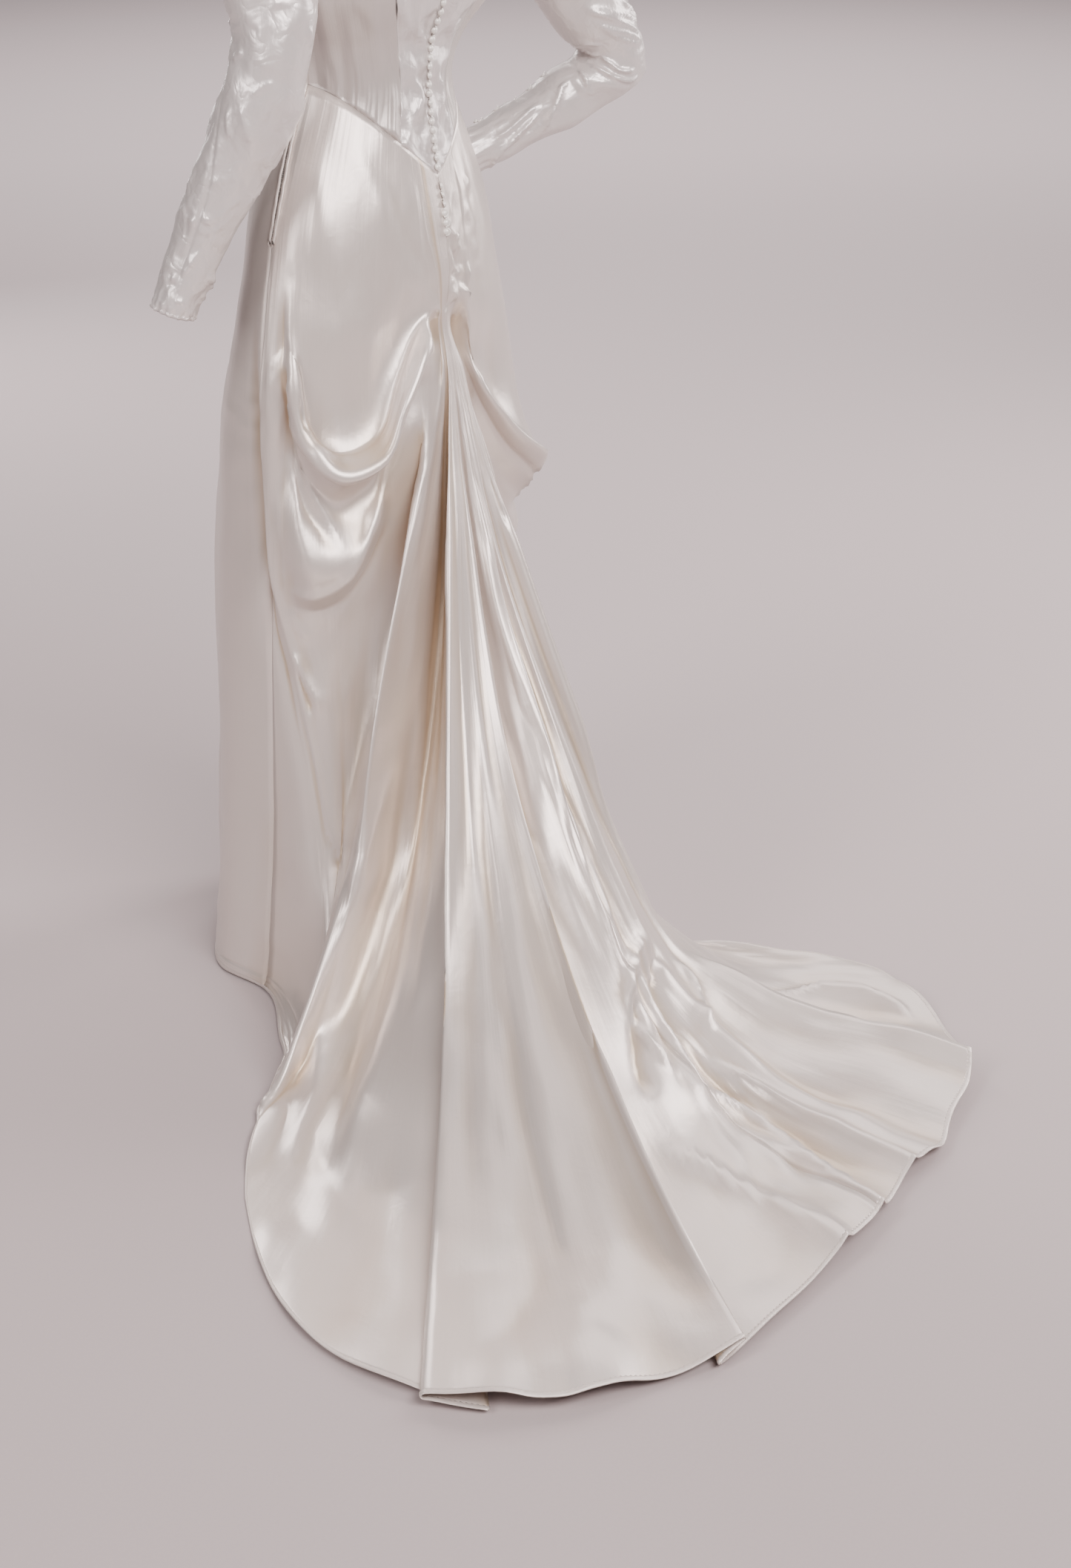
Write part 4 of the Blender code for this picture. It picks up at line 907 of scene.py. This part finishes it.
# %% [markdown]
# The edges are finished by hand: a narrow rolled hem with slanted stitches, which pull it
# into small scallops. A flattened tube along the cloth's last row is enough, and it keeps
# the hem a piece of its own, as the real one is a doubled edge.

# %% Rolled edges


def rolled_edge(name, edge, inward, outward, width, thick, scallop=0.14, stitch=0.0055, ring=False):
    """A flattened tube just inside an edge, pulled narrow at each stitch."""
    if ring:
        edge, inward, outward = (np.concatenate([a, a[:1]]) for a in (edge, inward, outward))
    run = np.concatenate([[0], np.cumsum(np.linalg.norm(np.diff(edge, axis=0), axis=1))])
    count = max(int(run[-1] / (stitch / 3)), 12)
    s = np.linspace(0, run[-1], count)
    at, side, up = (np.stack([np.interp(s, run, a[:, k]) for k in range(3)], 1)
                    for a in (edge, inward, outward))
    side /= np.linalg.norm(side, axis=1, keepdims=True).clip(1e-9)
    up /= np.linalg.norm(up, axis=1, keepdims=True).clip(1e-9)
    stitches = round(run[-1] / stitch)
    pull = 1 + scallop * np.cos(2 * np.pi * stitches * s / run[-1])
    turn = np.linspace(0, 2 * np.pi, 9)[:-1]
    slant = 0.35 * np.sin(turn)[None] * stitch
    shift = np.gradient(at, axis=0)
    shift /= np.linalg.norm(shift, axis=1, keepdims=True).clip(1e-9)
    grid = (at[:, None] + side[:, None] * (np.cos(turn)[None, :, None] * 0.5 + 0.42) * width
            * pull[:, None, None] + up[:, None] * np.sin(turn)[None, :, None] * thick / 2
            * (0.8 + 0.2 * pull[:, None, None]) + shift[:, None] * slant[..., None])
    grid[..., 2] = np.maximum(grid[..., 2], 0.0004)
    normal = (side[:, None] * np.cos(turn)[None, :, None] + up[:, None] * np.sin(turn)[None, :, None])
    return cloth(name, grid, normal, closed=True, thickness=0)


hems = {}
for node, (first, last) in SHEETS.items():
    part = slice(first, last + 1)
    inward = wrap[-2, part] - wrap[-1, part]
    hems[node] = rolled_edge(node.replace("skirt", "hem"), wrap[-1, part], inward,
                             wrap_normal[-2, part], 0.0070, 0.0020)
cuffs = {}
for word, (piece, grid, normal) in sleeve_pieces.items():
    cuffs[word] = rolled_edge("cuff_edge_" + word, grid[-1], grid[-3] - grid[-1], normal[-1],
                              0.0050, 0.0022, 0.30, 0.0070, ring=True)

# %% [markdown]
# The back closes with a row of tiny covered buttons and cord loops. One button and one
# loop are made once, then stamped down the seam, each turned a little its own way.

# %% Stamps for buttons and loops


def stamp_mesh(build):
    """A small mesh made once by build, to be stamped many times."""
    bm = bmesh.new()
    build(bm)
    mesh = bpy.data.meshes.new("stamp")
    bmesh.ops.recalc_face_normals(bm, faces=bm.faces)
    bm.to_mesh(mesh)
    bm.free()
    return mesh


def covered_button(bm):
    bmesh.ops.create_uvsphere(bm, u_segments=12, v_segments=8, radius=1.0)
    for v in bm.verts:
        v.co.z = max(v.co.z, -0.25) * 0.72


def cord_loop(bm):
    ring = bmesh.ops.create_circle(bm, segments=6, radius=0.19,
                                   matrix=Matrix.Translation((0, 1.05, 0)) @ Matrix.Rotation(math.pi / 2, 4, "Y"))
    edges = list({e for v in ring["verts"] for e in v.link_edges})
    bmesh.ops.spin(bm, geom=[*ring["verts"], *edges], cent=(0, 0, 0), axis=(0, 0, 1), dvec=(0, 0, 0),
                   angle=-math.pi, steps=9, use_merge=False, use_duplicate=False)


def stamped(name, stamps):
    """One piece from many stamps, each a mesh and a matrix."""
    bm = bmesh.new()
    for mesh, matrix in stamps:
        before = len(bm.verts)
        bm.from_mesh(mesh)
        bm.verts.ensure_lookup_table()
        bmesh.ops.transform(bm, matrix=matrix, verts=bm.verts[before:])
    mesh = bpy.data.meshes.new(name)
    bm.to_mesh(mesh)
    bm.free()
    mesh.shade_smooth()
    piece = bpy.data.objects.new(name, mesh)
    bpy.context.scene.collection.objects.link(piece)
    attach(piece, "root")
    print(name, len(mesh.polygons), "faces")
    return piece


BUTTON, LOOP = stamp_mesh(covered_button), stamp_mesh(cord_loop)
BUTTON_PITCH, BUTTON_RADIUS = 0.0100, 0.0042


def facing(at, out, size, spin=0.0, tilt=(0.0, 0.0)):
    """Place at a point, with its top facing outward."""
    turn = Vector(out).to_track_quat("Z", "Y").to_matrix().to_4x4()
    return (Matrix.Translation(Vector(at) - Vector((0, 0, HOLD_HEIGHT))) @ turn
            @ Matrix.Rotation(tilt[0], 4, "X") @ Matrix.Rotation(tilt[1] , 4, "Y")
            @ Matrix.Rotation(spin, 4, "Z") @ Matrix.Diagonal((*size, 1.0)))


def seam_line(*columns):
    """Points and normals of a seam, lowest first."""
    points, normals = (np.vstack([c[k] for c in columns]) for k in (0, 1))
    order = np.argsort(points[:, 2])
    return points[order], normals[order]


def on_line(line, z, out):
    points, normals = line
    normal = np.stack([np.interp(z, points[:, 2], normals[:, k]) for k in range(3)], 1)
    normal /= np.linalg.norm(normal, axis=1, keepdims=True)
    return np.stack([np.interp(z, points[:, 2], points[:, k]) for k in range(3)], 1) + normal * out, normal


def button_row(name, line, low, high, seed):
    rng = np.random.default_rng(seed)
    count = int((high - low) / BUTTON_PITCH)
    z = low + (np.arange(count) + 0.5) * BUTTON_PITCH
    at, out = on_line(line, z, 0.0020)
    stamps = []
    for p, n in zip(at, out):
        r = BUTTON_RADIUS * rng.uniform(0.90, 1.0)
        lean = rng.normal(0, 0.16, 2)
        stamps.append((BUTTON, facing(p + [rng.normal(0, 0.0003), 0, 0], n, (r, r, r), 0, lean)))
        stamps.append((LOOP, facing(p + n * 0.0004 + [0.0010, 0, rng.normal(0, 0.0003)], n,
                                    (r * 1.25, r * 1.02, r), 0 if n[1] > 0 else math.pi)))
    return stamped(name, stamps)


point = WAIST_SIDE - WAIST_DIP
back_line = seam_line([s[:, -1] for s in bodice_grids["bodice_centre_back_left"]])
bodice_buttons = button_row("bodice_buttons", back_line, point + 0.003, 1.432, 51)
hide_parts("back_buttons_bodice")
skirt_line = seam_line((lifted[:60, SEAM * COLUMNS], lifted_normal[:60, SEAM * COLUMNS]))
skirt_buttons = button_row("skirt_buttons", skirt_line, 0.912, point - 0.004, 52)
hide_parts("back_buttons_skirt")

# %% Cuff buttons and loops
CLOSURE_PLACE = 0.66
cuff_buttons = {}
for word, (piece, grid, normal) in sleeve_pieces.items():
    rng = np.random.default_rng(61 if word == "left" else 62)
    column = round(grid.shape[1] * CLOSURE_PLACE)
    at, out = grid[-11, column], normal[-11, column]
    stamps = [(BUTTON, facing(at + out * 0.0018, out, (0.0042, 0.0034, 0.0040)))]
    for k in range(6):
        up = 5 + 7 * k
        at, out = grid[-up, column + 3], normal[-up, column + 3]
        stamps.append((LOOP, facing(at + out * 0.0014, out, (0.0050, 0.0040, 0.0042),
                                    rng.uniform(-0.3, 0.3), (0.25, 0.1))))
    cuff_buttons[word] = stamped("cuff_closure_" + word, stamps)
    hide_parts("cuff_button_" + word)

# %% [markdown]
# The zip sits in the left side seam. Two soft lips of satin almost hide it, and they gape
# over the curve of the hip, where the dark slot shows.

# %% Zip, lips and slider


def zip_tooth(bm):
    bmesh.ops.create_cube(bm, size=1.0)
    bmesh.ops.bevel(bm, geom=bm.edges[:], offset=0.18, affect="EDGES", segments=1, profile=0.5, material=-1)


def slider_body(bm):
    bmesh.ops.create_cube(bm, size=1.0, matrix=Matrix.Diagonal((0.0050, 0.0080, 0.0024, 1)))
    bmesh.ops.bevel(bm, geom=bm.edges[:], offset=0.0006, affect="EDGES", segments=2, profile=0.5, material=-1)
    bmesh.ops.create_cube(bm, size=1.0, matrix=Matrix.Translation((0, -0.0105, 0.0006))
                          @ Matrix.Diagonal((0.0034, 0.0130, 0.0010, 1)))


side_line = seam_line((lifted[:40, 0], lifted_normal[:40, 0]),
                      [s[:, 0] for s in bodice_grids["bodice_side_back_left"]])
zip_z = np.linspace(0.917, 1.130, 90)
zip_at, zip_out = on_line(side_line, zip_z, 0.0010)
zip_run = np.gradient(zip_at, axis=0)
zip_wide = np.cross(zip_run, zip_out)
zip_wide /= np.linalg.norm(zip_wide, axis=1, keepdims=True)
zip_at += zip_wide * (0.0020 * np.sin((zip_z - 0.917) / 0.19 * 2 * np.pi * 1.1))[:, None]
strip = np.linspace(-1, 1, 5)
tape_grid = zip_at[:, None] + zip_wide[:, None] * strip[None, :, None] * 0.0036
zip_tape_piece = cloth("zip_tape", tape_grid, np.repeat(zip_out[:, None], 5, 1), thickness=0.0005)
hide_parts("side_zip")
gape = 0.0009 + 0.0010 * np.exp(-((zip_z - 0.985) / 0.035)**2) + 0.0003 * np.sin(zip_z * 300)
lips = []
for word, sign in (("back", -1), ("front", 1)):
    edge = zip_at + zip_wide * (sign * gape)[:, None] + zip_out * 0.0006
    lips.append(rolled_edge("zip_lip_" + word, edge, zip_wide * sign, zip_out, 0.0046, 0.0030, 0.05, 0.012))
TOOTH = stamp_mesh(zip_tooth)
teeth = []
for k, z in enumerate(np.arange(0.922, 1.120, 0.0022)):
    at, out = on_line(side_line, np.array([z]), 0.0014)
    wide = zip_wide[np.abs(zip_z - z).argmin()]
    teeth.append((TOOTH, facing(at[0] + wide * (0.0004 if k % 2 else -0.0004), out[0],
                                (0.0016, 0.0011, 0.0009))))
zip_teeth = stamped("zip_teeth", teeth)
at, out = on_line(side_line, np.array([1.1136]), 0.0034)
slider = stamped("zip_slider_and_pull", [(stamp_mesh(slider_body), facing(at[0], out[0], (1, 1, 1)))])
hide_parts("zip_slider")

# %% [markdown]
# Satin shines because its threads float in one direction. A shader can show that with a
# fairly smooth surface, a sheen, and a tan painted shade in the hollows, painted in for the
# light that bounces from cloth to cloth there. Each number that changes is an expression on a wrapped socket.

# %% Shader helper


class Socket:
    """A node's output that can be used in sums."""

    def __init__(self, tree, link):
        self.tree, self.link = tree, link

    def sum(self, operation, other, swap=False):
        pair = (other, self) if swap else (self, other)
        node = make_node(self.tree, "ShaderNodeMath", (("operation", operation),),
                         {0: pair[0], 1: pair[1]})
        return Socket(self.tree, node.outputs[0])

    def __add__(self, other):
        return self.sum("ADD", other)

    def __radd__(self, other):
        return self.sum("ADD", other, True)

    def __sub__(self, other):
        return self.sum("SUBTRACT", other)

    def __rsub__(self, other):
        return self.sum("SUBTRACT", other, True)

    def __mul__(self, other):
        return self.sum("MULTIPLY", other)

    def __rmul__(self, other):
        return self.sum("MULTIPLY", other, True)


def make_node(tree, kind, settings=(), values=()):
    """One node: its settings first, then the values or links of its sockets."""
    node = tree.nodes.new(kind)
    for key, value in settings:
        setattr(node, key, value)
    for key, value in dict(values).items():
        if isinstance(value, Socket):
            tree.links.new(value.link, node.inputs[key])
        else:
            node.inputs[key].default_value = value
    return node


def output(tree, kind, settings=(), values=(), socket=0):
    return Socket(tree, make_node(tree, kind, settings, values).outputs[socket])


print("shader helper ready")

# %% Satin


def satin(name, light, shade, painted_bounce_shade, roughness, sheen, crinkle=0.0, metallic=0.0, grain_lines=90):
    """Bridal satin: light and shade colours, the tan painted shade of its hollows, and its shine."""
    material = bpy.data.materials.new(name)
    material.use_nodes = True
    tree = material.node_tree
    shader = tree.nodes["Principled BSDF"]
    place = output(tree, "ShaderNodeTexCoord", socket="Object")
    uv = output(tree, "ShaderNodeTexCoord", socket="UV")
    hollow = output(tree, "ShaderNodeAttribute", (("attribute_name", "hollow"),), socket="Fac")
    drift = output(tree, "ShaderNodeTexNoise", (), {"Vector": place, "Scale": 3.0, "Detail": 3.0})
    slub = output(tree, "ShaderNodeTexNoise", (), {
        "Vector": output(tree, "ShaderNodeMapping", (), {"Vector": uv, "Scale": (900, 60, 1)}),
        "Scale": 1.0, "Detail": 3.0})
    weave = output(tree, "ShaderNodeTexNoise", (), {"Vector": place, "Scale": 1500.0, "Detail": 1.0})
    tone = output(tree, "ShaderNodeMix", (("data_type", "RGBA"),), {0: drift, 6: (*shade, 1), 7: (*light, 1)}, 2)
    # Painted shade: the hollow attribute mixes the colour towards a tan that stands for shade and light bounced
    # between folds.
    deep = output(tree, "ShaderNodeMath", (("operation", "MULTIPLY"), ("use_clamp", True)), {0: hollow, 1: 0.8})
    colour = output(tree, "ShaderNodeMix", (("data_type", "RGBA"),), {0: deep, 6: tone, 7: (*painted_bounce_shade, 1)}, 2)
    tree.links.new(colour.link, shader.inputs["Base Color"])
    rough = roughness - 0.05 + 0.10 * slub
    tree.links.new(rough.link, shader.inputs["Roughness"])
    height = 0.5 * slub + 0.5 * weave
    bump = output(tree, "ShaderNodeBump", (), {"Height": height, "Strength": 0.12, "Distance": 0.0003})
    grain = output(tree, "ShaderNodeTexNoise", (), {
        "Vector": output(tree, "ShaderNodeMapping", (), {"Vector": uv, "Scale": (grain_lines, 7, 1)}),
        "Scale": 1.0, "Detail": 4.0})
    bump = output(tree, "ShaderNodeBump", (), {"Height": grain, "Strength": 0.22,
                                              "Distance": 0.0022, "Normal": bump})
    if crinkle:
        folds = output(tree, "ShaderNodeTexNoise", (), {"Vector": place, "Scale": 42.0,
                                                       "Detail": 2.0, "Distortion": 0.5})
        ridges = output(tree, "ShaderNodeMath", (("operation", "ABSOLUTE"),), {0: folds - 0.5})
        bump = output(tree, "ShaderNodeBump", (), {"Height": ridges, "Strength": crinkle,
                                                  "Distance": 0.008, "Normal": bump})
    tree.links.new(bump.link, shader.inputs["Normal"])
    shader.inputs["Metallic"].default_value = metallic
    shader.inputs["Sheen Weight"].default_value = sheen
    shader.inputs["Sheen Roughness"].default_value = 0.45
    shader.inputs["Specular IOR Level"].default_value = 0.75
    return material


# Each satin's third colour is the tan painted shade its hollows take.
ivory_satin = satin("ivory_satin", (0.75, 0.678, 0.634), (0.66, 0.592, 0.545), (0.55, 0.42, 0.28),
                    0.35, 0.06, crinkle=0.05, metallic=0.45)
white_satin = satin("white_satin", (0.74, 0.69, 0.67), (0.68, 0.63, 0.61), (0.62, 0.53, 0.45),
                    0.35, 0.06, crinkle=0.32, metallic=0.36, grain_lines=40)
# Painted shade: the side back panels take a darker copy of the white satin, for the shade they stand in.
side_satin_painted_shade = satin("side_satin_painted_shade", (0.60, 0.55, 0.52), (0.54, 0.49, 0.46), (0.48, 0.40, 0.33),
                   0.42, 0.06, crinkle=0.08, metallic=0.38, grain_lines=30)
button_satin = satin("button_satin", (0.84, 0.81, 0.76), (0.78, 0.74, 0.69), (0.70, 0.62, 0.52),
                     0.36, 0.05, metallic=0.20)
tape_cloth = satin("tape_cloth", (0.16, 0.15, 0.14), (0.12, 0.11, 0.10), (0.08, 0.07, 0.06), 0.80, 0.0)
zip_metal = satin("zip_metal", (0.62, 0.61, 0.59), (0.54, 0.53, 0.51), (0.40, 0.38, 0.35),
                  0.32, 0.0, metallic=1.0)
for material, pieces in ((ivory_satin, [*skirt_pieces.values(), *hems.values(), *lips]),
                         (white_satin, [p for node, p in bodice_pieces.items() if "side_back" not in node]
                          + [p[0] for p in sleeve_pieces.values()] + list(cuffs.values())),
                         (side_satin_painted_shade, [p for node, p in bodice_pieces.items() if "side_back" in node]),
                         (button_satin, [bodice_buttons, skirt_buttons, *cuff_buttons.values()]),
                         (tape_cloth, [zip_tape_piece]), (zip_metal, [zip_teeth, slider])):
    for piece in pieces:
        piece.data.materials.append(material)
    print(material.name, "on", len(pieces), "pieces")

# %% [markdown]
# The floor is a pale sweep of paper, with painted light falloff: its colour runs from darker
# near the camera to much lighter far behind the gown. The light is a large soft window high
# beside the camera, a smaller one on the left, a ceiling panel, a panel on the right for the
# folds beyond the seam, a narrow one behind the gown that draws its left edges, and a weak
# one far behind that lifts the floor.

# %% Floor and light
bm = bmesh.new()
bmesh.ops.create_grid(bm, x_segments=1, y_segments=1, size=14.0)
bmesh.ops.translate(bm, vec=(0, 0, -HOLD_HEIGHT), verts=bm.verts)
mesh = bpy.data.meshes.new("floor")
bm.to_mesh(mesh)
bm.free()
floor = bpy.data.objects.new("floor", mesh)
bpy.context.scene.collection.objects.link(floor)
paper = bpy.data.materials.new("pale_paper_painted_falloff")
paper.use_nodes = True
tree = paper.node_tree
place = output(tree, "ShaderNodeTexCoord", socket="Object")
grain = output(tree, "ShaderNodeTexNoise", (), {"Vector": place, "Scale": 260.0, "Detail": 2.0})
# Painted light: the paper's colour is mixed from its grain near the camera to a much lighter tone far away,
# standing in for the light falling off over the floor.
away = output(tree, "ShaderNodeVectorMath", (("operation", "DOT_PRODUCT"),),
              {0: place, 1: (-0.766, -0.643, 0)}, "Value")
away = output(tree, "ShaderNodeMapRange", (), {"Value": away, "From Min": -1.8, "From Max": 6.0})
paper_grain_and_painted_falloff = output(tree, "ShaderNodeMix", (("data_type", "RGBA"),),
                      {0: grain, 6: (0.38, 0.323, 0.32, 1), 7: (0.405, 0.347, 0.344, 1)}, 2)
paper_grain_and_painted_falloff = output(tree, "ShaderNodeMix", (("data_type", "RGBA"),),
                      {0: away, 6: paper_grain_and_painted_falloff, 7: (0.78, 0.69, 0.70, 1)}, 2)
tree.links.new(paper_grain_and_painted_falloff.link, tree.nodes["Principled BSDF"].inputs["Base Color"])
tree.nodes["Principled BSDF"].inputs["Roughness"].default_value = 0.85
floor.data.materials.append(paper)

world = bpy.data.worlds.new("studio")
world.use_nodes = True
world.node_tree.nodes["Background"].inputs["Color"].default_value = (1.0, 0.93, 0.925, 1)
world.node_tree.nodes["Background"].inputs["Strength"].default_value = 0.08
bpy.context.scene.world = world


def soft_panel(name, place, toward, wide, tall, watts, colour=(1, 1, 1)):
    data = bpy.data.lights.new(name, "AREA")
    data.shape, data.size, data.size_y, data.energy = "RECTANGLE", wide, tall, watts
    data.color = colour
    light = bpy.data.objects.new(name, data)
    bpy.context.scene.collection.objects.link(light)
    light.location = place
    light.rotation_euler = (Vector(toward) - Vector(place)).to_track_quat("-Z", "Y").to_euler()
    return light


WARM = (1.0, 0.922, 0.920)
soft_panel("window", (1.25, 3.1, 1.6), (0.1, 0.1, 0.1), 3.0, 1.5, 240, WARM)
soft_panel("left window", (3.4, -0.2, 1.1), (0.1, 0.1, -0.5), 1.2, 2.0, 95, WARM)
soft_panel("ceiling", (-0.6, 0.4, 2.6), (0.2, 0.4, -1.0), 2.2, 1.8, 14, WARM)
soft_panel("side", (-2.7, 1.3, 0.6), (0.0, 0.1, -0.5), 1.2, 2.2, 95, WARM)
soft_panel("left edge", (-1.5, -3.2, 0.6), (0.2, 0.0, -0.4), 0.6, 2.2, 50, WARM)
soft_panel("backdrop", (-6.0, -3.8, 3.0), (-6.0, -3.8, -1.4), 7.0, 7.0, 430, WARM)
